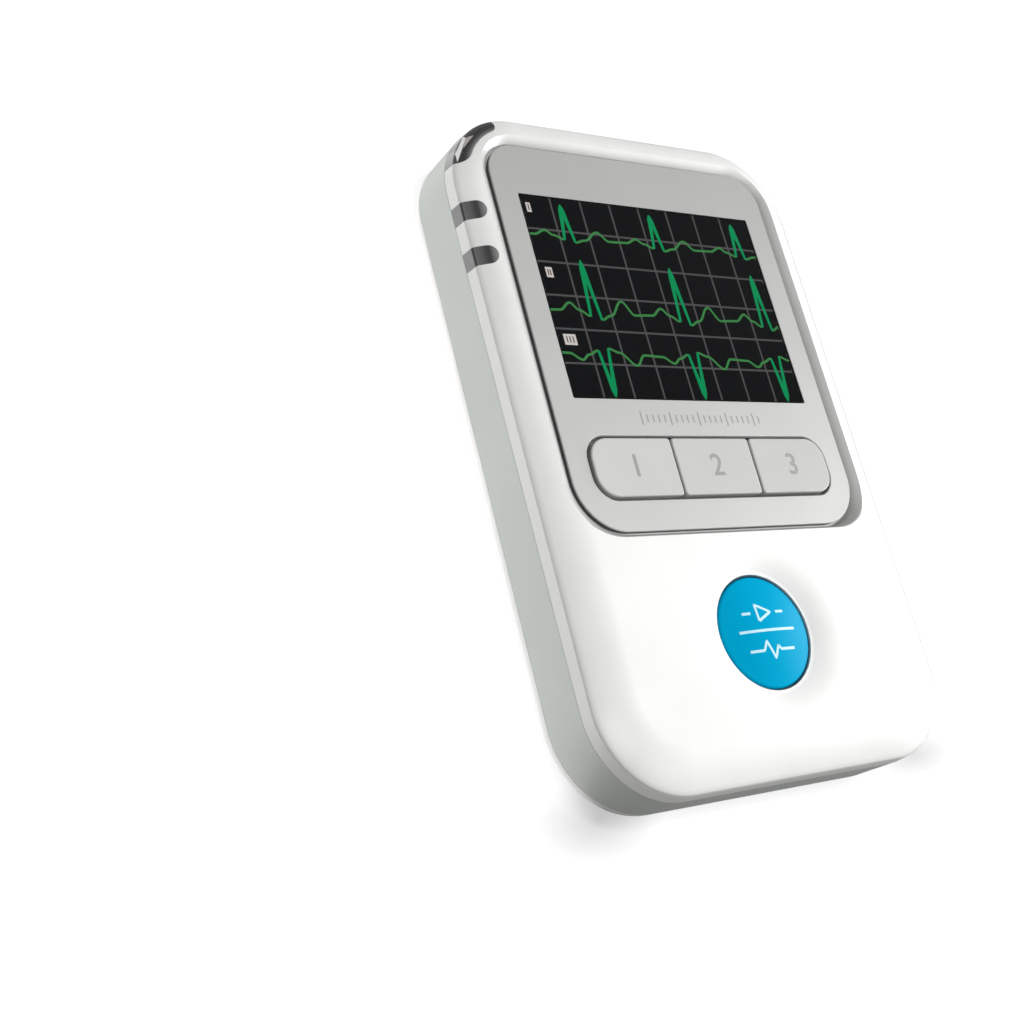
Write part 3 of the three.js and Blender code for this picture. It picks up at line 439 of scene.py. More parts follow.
def loft(levels):
    """A closed form through rings of equal point count, each given with its level."""
    body = bmesh.new()
    rings = [[body.verts.new((x, y, z)) for x, y in points] for z, points in levels]
    for lower, upper in zip(rings, rings[1:]):
        for i, start in enumerate(lower):
            after = (i + 1) % len(lower)
            body.faces.new((start, lower[after], upper[after], upper[i]))
    body.faces.new(list(reversed(rings[0])))
    body.faces.new(rings[-1])
    return thing(body)


def plate(points, bottom, top):
    return loft([(bottom, points), (top, points)])


def block(xs, ys, zs, radius=LEAST_RADIUS):
    centre = (sum(xs) / 2, sum(ys) / 2)
    return plate(rounded(xs[1] - xs[0], ys[1] - ys[0], radius, centre, SMALL_STEPS), *zs)


def quarter_round(edge, steps=EDGE_STEPS):
    """Pairs along a quarter circle: the first falls from its radius to 0 as the second grows to it."""
    turns = [step / steps * math.pi / 2 for step in range(steps + 1)]
    return [(edge - edge * math.sin(turn), edge * (1 - math.cos(turn))) for turn in turns]


def soft_plate(outline, bottom, top, edge, both=False):
    """A plate whose outline, a function of its growth, is rounded over at the top, or at both edges."""
    levels = [(top - drop, outline(-inset)) for drop, inset in quarter_round(edge)]
    if both:
        foot = [(bottom + drop, outline(-inset)) for drop, inset in quarter_round(edge)]
        return loft(list(reversed(foot)) + levels)
    return loft([(bottom, outline(0))] + levels)


def flared_hole(outline, bottom, top, edge):
    """A cutter whose mouth rounds outwards into the face at the level top."""
    levels = [(top - drop, outline(inset)) for drop, inset in quarter_round(edge)]
    return loft([(bottom, outline(0))] + levels + [(top + PAST, outline(edge))])


def lathe(profile, centre=(0.0, 0.0), sides=ROUND_SIDES):
    """A form turned about the vertical, its profile of (radius, level) starting and ending on it."""
    body = bmesh.new()
    turns = [2 * math.pi * i / sides for i in range(sides)]
    rings = []
    for radius, level in profile:
        if radius == 0:
            rings.append([body.verts.new((*centre, level))])
            continue
        rings.append([body.verts.new((centre[0] + radius * math.cos(turn),
                                      centre[1] + radius * math.sin(turn), level)) for turn in turns])
    for lower, upper in zip(rings, rings[1:]):
        for i in range(sides):
            after = (i + 1) % sides
            corners = [lower[i % len(lower)], lower[after % len(lower)],
                       upper[after % len(upper)], upper[i % len(upper)]]
            body.faces.new(list(dict.fromkeys(corners)))
    return thing(body)


def rod(radius, bottom, top, centre=(0.0, 0.0), sides=SCREW_SIDES):
    return lathe([(0, bottom), (radius, bottom), (radius, top), (0, top)], centre, sides)


def cross_rod(radius, half_length, sides=SCREW_SIDES):
    """A rod along the door's hinge."""
    tool = rod(radius, -half_length, half_length, sides=sides)
    tool.data.transform(Matrix.Translation((0, hinge_y, hinge_z)) @ Matrix.Rotation(math.pi / 2, 4, "Y"))
    return tool


def settle(obj):
    """Applies an object's modifiers to its mesh."""
    graph = bpy.context.evaluated_depsgraph_get()
    mesh = bpy.data.meshes.new_from_object(obj.evaluated_get(graph))
    obj.modifiers.clear()
    obj.data = mesh
    return obj


def combine(obj, operation, tools):
    for tool in tools:
        modifier = obj.modifiers.new(operation, "BOOLEAN")
        modifier.operation = operation
        modifier.solver = "EXACT"
        modifier.object = tool
    settle(obj)
    for tool in tools:
        bpy.data.objects.remove(tool)


def carve(obj, *tools):
    combine(obj, "DIFFERENCE", tools)


def add(obj, *tools):
    combine(obj, "UNION", tools)


def soften(obj, width, segments):
    """Rounds the sharp edges of an object as it is shown, its width in the object's own units."""
    modifier = obj.modifiers.new("edges", "BEVEL")
    modifier.width = width
    modifier.segments = segments
    modifier.limit_method = "ANGLE"
    modifier.angle_limit = math.radians(SOFT_EDGE_ANGLE)


def complete(obj, name, material, body, slot, *nodes):
    """Turns a piece into metres, shades it, dresses it and hands it to its body."""
    obj.name = name
    obj.data.name = name
    obj.data.transform(Matrix.Scale(MM, 4))
    obj.data.materials.clear()
    obj.data.materials.append(material)
    obj.data.shade_smooth()
    obj.data.set_sharp_from_angle(angle=math.radians(SMOOTH_ANGLE))
    weighting = obj.modifiers.new("normals", "WEIGHTED_NORMAL")
    weighting.keep_sharp = True
    weighting.weight = 60
    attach(obj, body)
    if nodes:
        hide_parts(*nodes)


# Material helpers

def painted(name):
    """A new material, with its node tree and its main shader."""
    material = bpy.data.materials.new(name)
    material.use_nodes = True
    return material, material.node_tree, material.node_tree.nodes["Principled BSDF"]


def feed(tree, node, inputs):
    """Sets a node's inputs, each to a value or to what comes out of another node."""
    for key, value in inputs.items():
        if isinstance(value, bpy.types.NodeSocket):
            tree.links.new(value, node.inputs[key])
        else:
            node.inputs[key].default_value = value


def new_node(tree, kind, inputs, **settings):
    node = tree.nodes.new(f"ShaderNode{kind}")
    for setting, value in settings.items():
        setattr(node, setting, value)
    feed(tree, node, inputs)
    return node


def linear(value):
    value /= 255
    return value / 12.92 if value <= 0.04045 else ((value + 0.055) / 1.055) ** 2.4


def moulded(name, colour, roughness, grain=2600.0, grain_strength=0.05, coat=0.0, shift=0.02,
            specular=0.5):
    """A moulded surface: faint mottling in its colour and sheen, and a fine grain."""
    material, tree, shader = painted(name)
    place = new_node(tree, "TexCoord", {}).outputs["Object"]
    clouds = new_node(tree, "TexNoise", {"Vector": place, "Scale": MOTTLE_SCALE, "Detail": 4.0})
    cloud = clouds.outputs["Fac"]
    tone = new_node(tree, "ValToRGB", {"Fac": cloud})
    for step, position, share in zip(tone.color_ramp.elements, MOTTLE_RANGE, (1 - shift, 1 + shift)):
        step.position = position
        step.color = (*(min(linear(part) * share, 1) for part in colour), 1)
    gloss = new_node(tree, "MapRange", {
        "Value": cloud, "To Min": roughness * (1 - GLOSS_SPREAD), "To Max": roughness * (1 + GLOSS_SPREAD)})
    fine = new_node(tree, "TexNoise", {"Vector": place, "Scale": grain, "Detail": 2.0}).outputs["Fac"]
    bump = new_node(tree, "Bump", {"Height": fine, "Strength": grain_strength, "Distance": GRAIN_DEPTH})
    feed(tree, shader, {
        "Base Color": tone.outputs["Color"], "Roughness": gloss.outputs["Result"],
        "Normal": bump.outputs["Normal"], "Specular IOR Level": specular, "Coat Weight": coat,
        "Coat Roughness": 0.06})
    return material


def along(tree, axis, start, end, low=0.0, high=1.0):
    """A number that goes evenly from low to high between two places on an axis, in millimetres."""
    place = new_node(tree, "TexCoord", {}).outputs["Object"]
    split = new_node(tree, "SeparateXYZ", {"Vector": place})
    share = new_node(tree, "MapRange", {"Value": split.outputs[axis], "From Min": start * MM,
                                        "From Max": end * MM, "To Min": low, "To Max": high})
    return share.outputs["Result"]


def multiplied(material, operation, share):
    """Multiplies a moulded colour by a share: a number for SCALE, a grey for MULTIPLY."""
    tree = material.node_tree
    colour = tree.nodes["Principled BSDF"].inputs["Base Color"]
    inputs = {0: colour.links[0].from_socket, "Scale" if operation == "SCALE" else 1: share}
    result = new_node(tree, "VectorMath", inputs, operation=operation)
    tree.links.new(result.outputs["Vector"], colour)


def graded(material, axis, start, end, start_share, end_share):
    """Makes a colour change evenly between two places on an axis, in millimetres."""
    multiplied(material, "SCALE", along(material.node_tree, axis, start, end, start_share, end_share))


def by_height(tree, stops):
    """A grey that follows the height: the stops are levels in millimetres, each with its share."""
    ramp = new_node(tree, "ValToRGB", {"Fac": along(tree, "Z", band_bottom, face_z)})
    steps = ramp.color_ramp.elements
    while len(steps) < len(stops):
        steps.new(0.5)
    for step, (level, share) in zip(steps, stops):
        step.position = (level - band_bottom) / (face_z - band_bottom)
        step.color = (share, share, share, 1)
    return ramp.outputs["Color"]


def shaded(material, foot, stops):
    """Makes a colour follow the height: the stops are rises over a foot, each with its share."""
    grey = by_height(material.node_tree, [(foot + rise, share) for rise, share in stops])
    multiplied(material, "MULTIPLY", grey)


def smoked(name, tones):
    """Smoked plastic with painted light and shade that follows the height: its tones are rises over the
    crease and greys.
    """
    material = moulded(name, (60, 60, 60), 0.2, 2000.0, 0.03, coat=0.2)
    tree = material.node_tree
    below = [(-0.2, 132), (-0.1, 38), (0.12, 38)]
    tone = by_height(tree, [(crease_z + rise, linear(grey)) for rise, grey in below + tones])
    feed(tree, tree.nodes["Principled BSDF"], {"Base Color": tone})
    return material


def metal(name, colour, roughness):
    material = moulded(name, colour, roughness, 5200.0, 0.08)
    material.node_tree.nodes["Principled BSDF"].inputs["Metallic"].default_value = 1.0
    return material


def glass(name, colour):
    material, tree, shader = painted(name)
    feed(tree, shader, {
        "Base Color": (*colour, 1), "Roughness": 0.0, "IOR": 1.2, "Transmission Weight": 1.0})
    return material


def glowing(name, colour):
    """A colour that the screen gives off."""
    material, tree, shader = painted(name)
    feed(tree, shader, {
        "Base Color": (0.001, 0.001, 0.001, 1), "Roughness": 0.8, "Specular IOR Level": 0.0,
        "Emission Color": (*(linear(part) for part in colour), 1), "Emission Strength": 1.0})
    return material


# Materials

# The white shell has painted shade in its crease, and a painted darker line along its right edge.
white = moulded("white_shell", (233, 233, 231), 0.36, coat=0.05)
shaded(white, crease_z, [(-0.2, 1.0), (-0.02, 0.8), (0.12, 0.8), (0.28, 0.91), (0.5, 1.0)])
graded(white, "X", side_x - 1.5, side_x - 0.3, 1.0, 0.55)
# The slope round the panel has painted shade: darkest at its foot and at its lower end, lighter along its
# top end.
lining_painted_shade = moulded("lining_painted_shade", (214, 214, 212), 0.36, coat=0.05)
shaded(lining_painted_shade, slope_foot, [(0, 0.52), (0.15, 0.64), (0.5, 0.88), (0.8, 0.98)])
graded(lining_painted_shade, "Y", panel_high.y - 1, panel_high.y, 0.88, 1.2)
graded(lining_painted_shade, "Y", panel_low.y, panel_low.y + 6, 0.64, 1.0)
rear_white = moulded("rear_white", (246, 246, 244), 0.34, coat=0.1)
# The back is painted darker towards its bottom end: painted shade.
graded(rear_white, "Y", -25, 5, 0.88, 1.0)
wall_grey = moulded("frame_grey", (199, 204, 199), 0.42, 3800.0, 0.18)
panel_grey = moulded("panel_satin", (181, 181, 179), 0.42, 4200.0, 0.2, shift=0.012)
# The panel is painted lighter towards its bottom end and a little towards its right side: painted light and
# shade.
graded(panel_grey, "Y", panel_low.y, panel_high.y, 1.14, 0.81)
graded(panel_grey, "X", panel_low.x, panel_high.x, 0.97, 1.03)
# The backing is dark grey partly as a real backing and partly as painted shade in the gap round the panel.
panel_dark = moulded("panel_dark", (82, 84, 84), 0.55, 4200.0, 0.25)
key_grey = moulded("key_satin", (184, 184, 182), 0.5, 4200.0, 0.2, shift=0.012)
# The keys are painted darker towards the right: painted shade against the light from that side.
graded(key_grey, "X", key_row_low_x, -key_row_low_x, 1.08, 0.93)
blue = moulded("button_blue", (0, 155, 197), 0.3, 2600.0, 0.04, shift=0.03, specular=0.01)
# Each list of tones is painted light and shade along the height.
window_smoke = smoked("smoked_window", [
    (0.2, 110), (0.65, 92), (0.95, 57), (1.1, 40), (1.25, 46), (1.4, 85)])
lens_smoke = smoked("smoked_lens", [
    (0.2, 84), (0.4, 72), (0.6, 56), (0.75, 58), (0.9, 84), (1.05, 140)])
# Painted highlights on the lens: a white wedge and a lighter grey facet.
painted_lens_highlight = moulded("painted_lens_highlight", (240, 240, 238), 0.3, coat=0.2)
painted_lens_highlight_edge = moulded("painted_lens_highlight_edge", (178, 172, 168), 0.3, coat=0.2)
black = moulded("black_plastic", (34, 36, 38), 0.55, 4200.0, 0.25)
rubber = moulded("seal_rubber", (16, 60, 78), 0.7, 3600.0, 0.3)
foam = moulded("foam", (44, 44, 46), 0.9, 3000.0, 0.9, shift=0.15)
green_board = moulded("board_green", (31, 107, 66), 0.4, 1500.0, 0.2, coat=0.3, shift=0.08)
chip_black = moulded("chip_black", (27, 28, 30), 0.5, 5200.0, 0.3)
film = moulded("amber_film", (190, 120, 40), 0.3, 1800.0, 0.1, coat=0.2)
steel = metal("plated_steel", (196, 198, 202), 0.28)
gold = metal("gold_plate", (226, 184, 92), 0.25)
led_body = moulded("led_body", (226, 228, 214), 0.3, 2600.0, 0.1)
pack_wrap = moulded("pack_wrap", (58, 62, 68), 0.4, 900.0, 0.25, shift=0.06)
print_white = moulded("print_white", (190, 226, 238), 0.4, specular=0.1)
print_grey = moulded("print_grey", (146, 146, 144), 0.6)
clear = glass("clear_window", (0.97, 0.98, 0.98))
screen_dark = glowing("screen_dark", (13, 14, 16))
screen_grid = glowing("screen_grid", (78, 76, 78))
screen_line = glowing("screen_line", (60, 130, 70))
screen_spike = glowing("screen_spike", (8, 140, 85))
screen_tag = glowing("screen_tag", (206, 198, 194))

SLOT_LOOKS = {
    "white_gloss": white, "grey_satin": wall_grey, "panel_grey": panel_grey, "key_grey": key_grey,
    "event_blue": blue, "smoke_clear": window_smoke, "clear_window": clear, "display_black": chip_black,
    "black_plastic": black, "dark_rubber": rubber, "soft_foam": foam, "board_green": green_board,
    "chip_black": chip_black, "amber_film": film, "steel": steel, "gold_contact": gold,
    "led_white": led_body, "pack_grey": pack_wrap,
}


# Front shell, with its lining, windows and lens

def arc_levels(start, tilts, radius, steps):
    """Levels of an arched surface that climbs inwards from start, a level and an inset."""
    level, inset = start
    first, last = (math.radians(tilt) for tilt in tilts)
    levels = []
    for step in range(1, steps + 1):
        angle = first + (last - first) * step / steps
        rise = radius * (math.cos(angle) - math.cos(first))
        run = radius * (math.sin(first) - math.sin(angle))
        levels.append((level + rise, inset + run))
    return levels


def front_form():
    """The outer form of the front shell: leaning band, fine crease, shoulder and arched top."""
    groove = crease_z - CREASE_FOOT
    profile = [
        (band_bottom, PARTING_EDGE),
        (band_bottom + PARTING_EDGE, 0),
        (groove, BAND_LEAN),
        (groove + CREASE_HEIGHT / 2, BAND_LEAN + CREASE_DEPTH),
        (groove + CREASE_HEIGHT, BAND_LEAN + CREASE_LIP),
    ]
    tilt = math.degrees(2 * math.atan2(face_z - crease_z, DOME_REACH))
    profile += arc_levels(profile[-1], (SHOULDER_TILT, tilt), SHOULDER_RADIUS, EDGE_STEPS)
    level, inset = profile[-1]
    reach, height = DOME_INSET + DOME_REACH - inset, face_z - level
    tilt = math.degrees(2 * math.atan2(height, reach))
    radius = (reach ** 2 + height ** 2) / (2 * height)
    profile += arc_levels(profile[-1], (tilt, 0), radius, DOME_STEPS)
    return loft([(level, body_outline(inset)) for level, inset in profile])


def pocket_slope():
    """The side of the panel's pocket: a straight slope that rolls over into the face."""
    tilt = math.radians(SLOPE_TILT)
    slope_top = face_z - SLOPE_ROLL * (1 - math.cos(tilt))
    slope_end = PANEL_GAP + (slope_top - slope_foot) / math.tan(tilt)
    profile = [(slope_foot, PANEL_GAP), (slope_top, slope_end)]
    return profile + arc_levels(profile[-1], (SLOPE_TILT, 0), SLOPE_ROLL, EDGE_STEPS)


def pocket_tool(floor, shrink=0.0):
    slope = pocket_slope()
    profile = [(floor, PANEL_GAP)] + slope + [(face_z + PAST, slope[-1][1])]
    return loft([(level, pocket_outline(grow - shrink)) for level, grow in profile])


def dish_tool():
    """The dish round the event button, steepest beside the button."""
    inner = seal_high.x + DISH_RIM
    run = DISH_RADIUS - inner
    profile = [(0, button_rim)]
    for step in range(DOME_STEPS + 1):
        share = step / DOME_STEPS
        profile.append((inner + run * share, button_rim + DISH_DEPTH * (1 - (1 - share) ** 3)))
    profile += [(DISH_RADIUS, face_z + PAST), (0, face_z + PAST)]
    return lathe(profile, (0, button_y))


def socket_room():
    return block(*room_round("lead_socket", SOCKET_ROOM))


def make_front_shell():
    shell = front_form()
    add(shell, plate(body_outline(LIP_OUTER), band_bottom - LIP_HEIGHT, band_bottom + OVERLAP))
    cavity = plate(body_outline(LIP_INSET), band_bottom - LIP_HEIGHT - PAST, roof_z)
    xs, ys, _ = room_round("display_module", DISPLAY_ROOM)
    display_room = block(xs, ys, (roof_z - PAST, panel_bottom + PAST))
    key_slot = plate(key_row_outline(KEY_GAP), roof_z - PAST, panel_bottom + PAST)
    carve(shell, cavity, pocket_tool(panel_bottom), display_room, key_slot)
    bosses = [rod(BOSS_RADIUS, BOSS_SPLIT, roof_z + OVERLAP, place) for place in screw_places]
    posts = [rod(STANDOFF_RADIUS, board_top, roof_z + OVERLAP, place) for place in board_screw_places]
    add(shell, *bosses, *posts)
    bore = rod(BORE_RADIUS, roof_z - PAST, face_z, (0, button_y), ROUND_SIDES)
    holes = [lens_outline(LENS_GAP)] + [window_outline(y, LENS_GAP) for y in window_ys]
    tools = [dish_tool(), bore, socket_room()]
    tools += [plate(outline, band_bottom - OVERLAP, face_z + PAST) for outline in holes]
    tools += [rod(SCREW_CLEAR, BOSS_SPLIT - PAST, BOSS_SPLIT + SCREW_HOLE, place) for place in screw_places]
    tools += [rod(BOARD_SCREW_CLEAR, board_top - PAST, board_top + BOARD_SCREW_HOLE, place)
              for place in board_screw_places]
    carve(shell, *tools)
    complete(shell, "front_shell", white, "recorder", "white_gloss", "front_housing")


def make_lining():
    """A thin skin on the slope round the panel, a little darker than the shell, that carries painted shade.
    """
    lining = loft([(level, pocket_outline(grow)) for level, grow in pocket_slope()])
    combine(lining, "INTERSECT", [front_form()])
    carve(lining, pocket_tool(slope_foot - PAST, LINING_SKIN))
    complete(lining, "pocket_lining", lining_painted_shade, "recorder", "white_gloss")


def make_window(name, outline, material, node):
    """A tinted window that fills its hole in the front shell, up to the shell's outer form."""
    piece = plate(outline, band_bottom, face_z + PAST)
    combine(piece, "INTERSECT", [front_form()])
    carve(piece, plate(body_outline(LIP_INSET), band_bottom - PAST, roof_z))
    complete(piece, name, material, "recorder", "smoke_clear", node)


def make_windows():
    for name, y in zip(("upper", "lower"), window_ys):
        make_window(f"window_{name}", window_outline(y, 0), window_smoke, f"status_window_{name}")
    make_window("lens_corner", lens_outline(0), lens_smoke, "corner_lens")


def make_pipe_face(name, corners, material):
    """A face of the painted highlight, which lies as a thin skin over the lens."""
    turned = [(math.radians(turn), radius) for turn, radius in corners]
    outline = [(corner_x - radius * math.cos(turn), corner_y + radius * math.sin(turn))
               for turn, radius in turned]
    piece = plate(outline, crease_z, face_z)
    skin = front_form()
    skin.data.transform(Matrix.Translation((0, 0, HIGHLIGHT_SKIN)))
    combine(piece, "INTERSECT", [skin])
    carve(piece, front_form())
    complete(piece, name, material, "recorder", "smoke_clear")


# Side frame and back

def make_side_frame():
    edge = PARTING_EDGE
    wall = loft([
        (rear_top, body_outline(edge)), (rear_top + edge, body_outline(0)),
        (band_bottom - edge, body_outline(0)), (band_bottom, body_outline(edge)),
    ])
    inside = plate(body_outline(CASE_WALL), rear_top - PAST, band_bottom + PAST)
    socket_low, socket_high = box_mm("lead_socket")
    centre = (0, (socket_low.z + socket_high.z) / 2)

    def mouth_outline(grow):
        return rounded(MOUTH_WIDTH, MOUTH_HEIGHT, MOUTH_RADIUS, centre, SMALL_STEPS, grow)

    mouth = flared_hole(mouth_outline, 0, CASE_WALL + PAST, MOUTH_EDGE)
    # The tool points along Z: it is tipped over so that its mouth opens on the top end wall.
    tip = Matrix(((1, 0, 0, 0), (0, 0, 1, end_y - CASE_WALL - PAST), (0, 1, 0, 0), (0, 0, 0, 1)))
    mouth.data.transform(tip)
    carve(wall, inside, mouth)
    complete(wall, "frame_wall", wall_grey, "recorder", "grey_satin", "side_frame")


def rear_form():
    """The outer form of the back, with its rounded edge."""
    edge = quarter_round(REAR_EDGE_RADIUS, CORNER_STEPS)
    levels = [(level, body_outline(inset)) for inset, level in edge]
    levels += [(rear_top - PARTING_EDGE, body_outline(0)), (rear_top, body_outline(PARTING_EDGE))]
    return loft(levels)


def door_opening_tool():
    low = hinge_y - BARREL_RADIUS - OPENING_GAP
    high = door_high.y + OPENING_GAP
    top, end = DOOR_RADIUS + OPENING_GAP, OPENING_END_RADIUS
    outline = rounded(door_width + 2 * OPENING_GAP, high - low, [top, top, end, end],
                      (0, (low + high) / 2), SMALL_STEPS)
    return plate(outline, -PAST, BACK_WALL + PAST / 2)


def scoop_tool():
    """The round hollow at the door's free end, for a fingertip."""
    ball = (SCOOP_RADIUS ** 2 + SCOOP_DEPTH ** 2) / (2 * SCOOP_DEPTH)
    steps = EDGE_STEPS * 4
    hollow = []
    for step in range(steps):
        level = step / steps * (SCOOP_DEPTH + SCOOP_START) - SCOOP_START
        hollow.append((math.sqrt(ball ** 2 - (level - SCOOP_DEPTH + ball) ** 2), level))
    profile = [(0, -PAST), (hollow[0][0], -PAST)] + hollow + [(0, SCOOP_DEPTH)]
    return lathe(profile, (0, door_high.y + OPENING_GAP))


def sink_tool(place):
    """The sink for a screw's head."""
    wall = [(SCREW_HEAD_ROOM + extra, level) for extra, level in SINK_MOUTH]
    profile = [(0, -PAST)] + wall + [(SCREW_HEAD_ROOM, SCREW_SINK), (0, SCREW_SINK)]
    return lathe(profile, place, SCREW_SIDES)


def make_rear_shell():
    shell = rear_form()
    add(shell, plate(body_outline(LIP_OUTER), rear_top - OVERLAP, rear_top + LIP_HEIGHT))
    carve(shell, plate(body_outline(LIP_INSET), BACK_WALL, rear_top + LIP_HEIGHT + PAST))
    half_width = door_width / 2 + OPENING_GAP
    ys = (hinge_y - BARREL_RADIUS - OPENING_GAP, hinge_y + BARREL_RADIUS)
    ear_top = hinge_z + BARREL_RADIUS
    ears = []
    for side in (-1, 1):
        xs = sorted((side * half_width, side * (half_width + EAR_WIDTH)))
        ears.append(block(xs, ys, (BACK_WALL - OVERLAP, ear_top), EAR_RADIUS))
    posts = [rod(BOSS_RADIUS, BACK_WALL - OVERLAP, BOSS_SPLIT - BOSS_GAP, place) for place in screw_places]
    add(shell, *ears, *posts)
    tools = [
        door_opening_tool(),
        block((-half_width, half_width), ys, (-PAST, ear_top + PAST)),
        scoop_tool(),
        socket_room(),
        cross_rod(PIN_SEAT, half_width + EAR_WIDTH - PIN_SEAT_WALL),
    ]
    for place in screw_places:
        tools += [sink_tool(place), rod(SCREW_CLEAR, 0, BOSS_SPLIT + PAST, place)]
    carve(shell, *tools)
    complete(shell, "rear_shell", rear_white, "recorder", "white_gloss", "rear_cover")


def make_door():
    length = door_high.y - hinge_y

    def leaf_outline(grow):
        radii = [DOOR_RADIUS, DOOR_RADIUS, DOOR_END_RADIUS - grow, DOOR_END_RADIUS - grow]
        return rounded(door_width, length, radii, (0, hinge_y + length / 2), SMALL_STEPS, grow)

    leaf = soft_plate(leaf_outline, 0, BACK_WALL, DOOR_EDGE, both=True)
    snap_y = door_high.y - SNAP_FROM_END
    snaps = []
    for side in (-1, 1):
        xs = sorted((side * (door_width / 2 - SNAP_ROOT), side * (door_width / 2 + SNAP_RISE)))
        snaps.append(block(xs, (snap_y - SNAP_LENGTH / 2, snap_y + SNAP_LENGTH / 2), SNAP_LEVELS))
    add(leaf, cross_rod(BARREL_RADIUS, door_width / 2, BARREL_SIDES), *snaps)
    tools = [cross_rod(PIN_HOLE, door_width)]
    for i in range(GRIP_COUNT):
        centre = (0, door_high.y - SCOOP_RADIUS - i * GRIP_SPACING)
        groove = rounded(2 * SCOOP_RADIUS, GRIP_WIDTH, GRIP_WIDTH / 2, centre, SMALL_STEPS)
        tools.append(plate(groove, -PAST, GRIP_DEPTH))
    carve(leaf, *tools)
    complete(leaf, "door_shell", rear_white, "battery_door", "white_gloss", "battery_door")


def make_screws():
    for number, place in enumerate(screw_places, 1):
        low, high = box_mm(f"case_screw_{number}")
        head_radius = (high.x - low.x) / 2
        profile = [(0, low.z)] + [(head_radius * share, low.z + rise) for share, rise in HEAD_ROUND]
        profile += [(head_radius, low.z + HEAD_HEIGHT), (SHANK_RADIUS, low.z + HEAD_HEIGHT),
                    (SHANK_RADIUS, high.z - SHANK_TIP), (SHANK_TIP_RADIUS, high.z), (0, high.z)]
        screw = lathe(profile, place, SCREW_SIDES)
        x, y = place
        arm = head_radius * CROSS_SHARE
        for half_x, half_y in ((arm, CROSS_HALF_WIDTH), (CROSS_HALF_WIDTH, arm)):
            carve(screw, block((x - half_x, x + half_x), (y - half_y, y + half_y),
                               (low.z - PAST, low.z + CROSS_DEPTH), CROSS_RADIUS))
        complete(screw, f"case_screw_head_{number}", steel, "recorder", "steel", f"case_screw_{number}")


# Print and screen picture

def strip(shape, points, widths):
    """Adds a flat ribbon along points to a bmesh, with one width, or one for each point."""
    if not isinstance(widths, list):
        widths = [widths] * len(points)
    left, right = [], []
    for i, (x, y) in enumerate(points):
        before = Vector(points[max(i - 1, 0)])
        after = Vector(points[min(i + 1, len(points) - 1)])
        course = (after - before).normalized()
        across = Vector((-course.y, course.x)) * widths[i] / 2
        left.append(shape.verts.new((x + across.x, y + across.y, 0)))
        right.append(shape.verts.new((x - across.x, y - across.y, 0)))
    for i in range(len(points) - 1):
        shape.faces.new((right[i], right[i + 1], left[i + 1], left[i]))


def flat(level):
    return lambda x, y: level


def graphic(name, material, body, slot, draw, level_at):
    """A thin printed or lit shape: a function draws it flat, and another lays it on a surface."""
    shape = bmesh.new()
    draw(shape)
    for vertex in shape.verts:
        vertex.co.z = level_at(vertex.co.x, vertex.co.y)
    obj = thing(shape, closed=False)
    solid = obj.modifiers.new("thickness", "SOLIDIFY")
    solid.thickness = PRINT_THICKNESS
    solid.offset = 1.0
    complete(settle(obj), name, material, body, slot)


def screen_point(across, down):
    return -screen_width / 2 + across * screen_width, screen_y + screen_height / 2 - down * screen_height


def eased(start, end, steps):
    """Points from one to the other, level at both ends, as a rounded wave is."""
    points = []
    for step in range(steps):
        share = step / steps
        rise = (1 - math.cos(math.pi * share)) / 2
        points.append((start[0] + (end[0] - start[0]) * share, start[1] + (end[1] - start[1]) * rise))
    return points


def clipped(points):
    """The part of a line that lies on the screen, which is one wide."""
    kept = []
    for (x0, y0), (x1, y1) in zip(points, points[1:]):
        for edge in (0, 1):
            if (x0 - edge) * (x1 - edge) < 0:
                kept.append((edge, y0 + (y1 - y0) * (edge - x0) / (x1 - x0)))
        if 0 <= x1 <= 1:
            kept.append((x1, y1))
    return kept


def beat_points(lane, corners):
    """A heartbeat's corners in every beat of a lane, the first beat starting before the screen."""
    base, height, start = lane
    return [[(start + (beat + share) * BEAT_PITCH, base - level * height) for share, level in corners]
            for beat in range(-1, int(1 / BEAT_PITCH) + 1)]


def draw_traces(shape):
    for lane in LANES:
        corners = sum(beat_points(lane, BEAT), [])
        points = []
        for before, after in zip(corners, corners[1:]):
            sudden = abs(after[1] - before[1]) > abs(lane[1]) / 2
            points += eased(before, after, 1 if sudden else SMALL_STEPS)
        strip(shape, [screen_point(*point) for point in clipped(points)], TRACE_WIDTH)


def draw_spikes(shape):
    """The two steep strokes of each heartbeat, drawn broader than the rest of the trace."""
    for first, tip, last in sum((beat_points(lane, SPIKE) for lane in LANES), []):
        for foot in (first, last):
            body = [low + (high - low) * SPIKE_BODY_SHARE for low, high in zip(foot, tip)]
            points = [screen_point(*point) for point in (foot, body, tip) if 0 <= point[0] <= 1]
            if len(points) == len(SPIKE_WIDTHS):
                strip(shape, points, SPIKE_WIDTHS)


def draw_grid(shape):
    for i in range(1, GRID_COLUMNS):
        strip(shape, [screen_point(i / GRID_COLUMNS, down) for down in (0, 1)], GRID_WIDTH)
    for i in range(1, GRID_ROWS):
        strip(shape, [screen_point(across, i / GRID_ROWS) for across in (0, 1)], GRID_WIDTH)


def draw_tags(shape):
    for left, right, top, bottom in TAGS:
        down = (top + bottom) / 2
        ends = [screen_point(left, down), screen_point(right, down)]
        strip(shape, ends, (bottom - top) * screen_height)


def draw_tag_bars(shape):
    """One bar in the first tag, two in the second and three in the third."""
    for count, (left, right, top, bottom) in enumerate(TAGS, 1):
        margin = (bottom - top) * (1 - TAG_BAR_SHARE) / 2
        for i in range(count):
            across = left + (right - left) * (i + 1) / (count + 1)
            ends = [screen_point(across, top + margin), screen_point(across, bottom - margin)]
            strip(shape, ends, TAG_BAR_WIDTH)


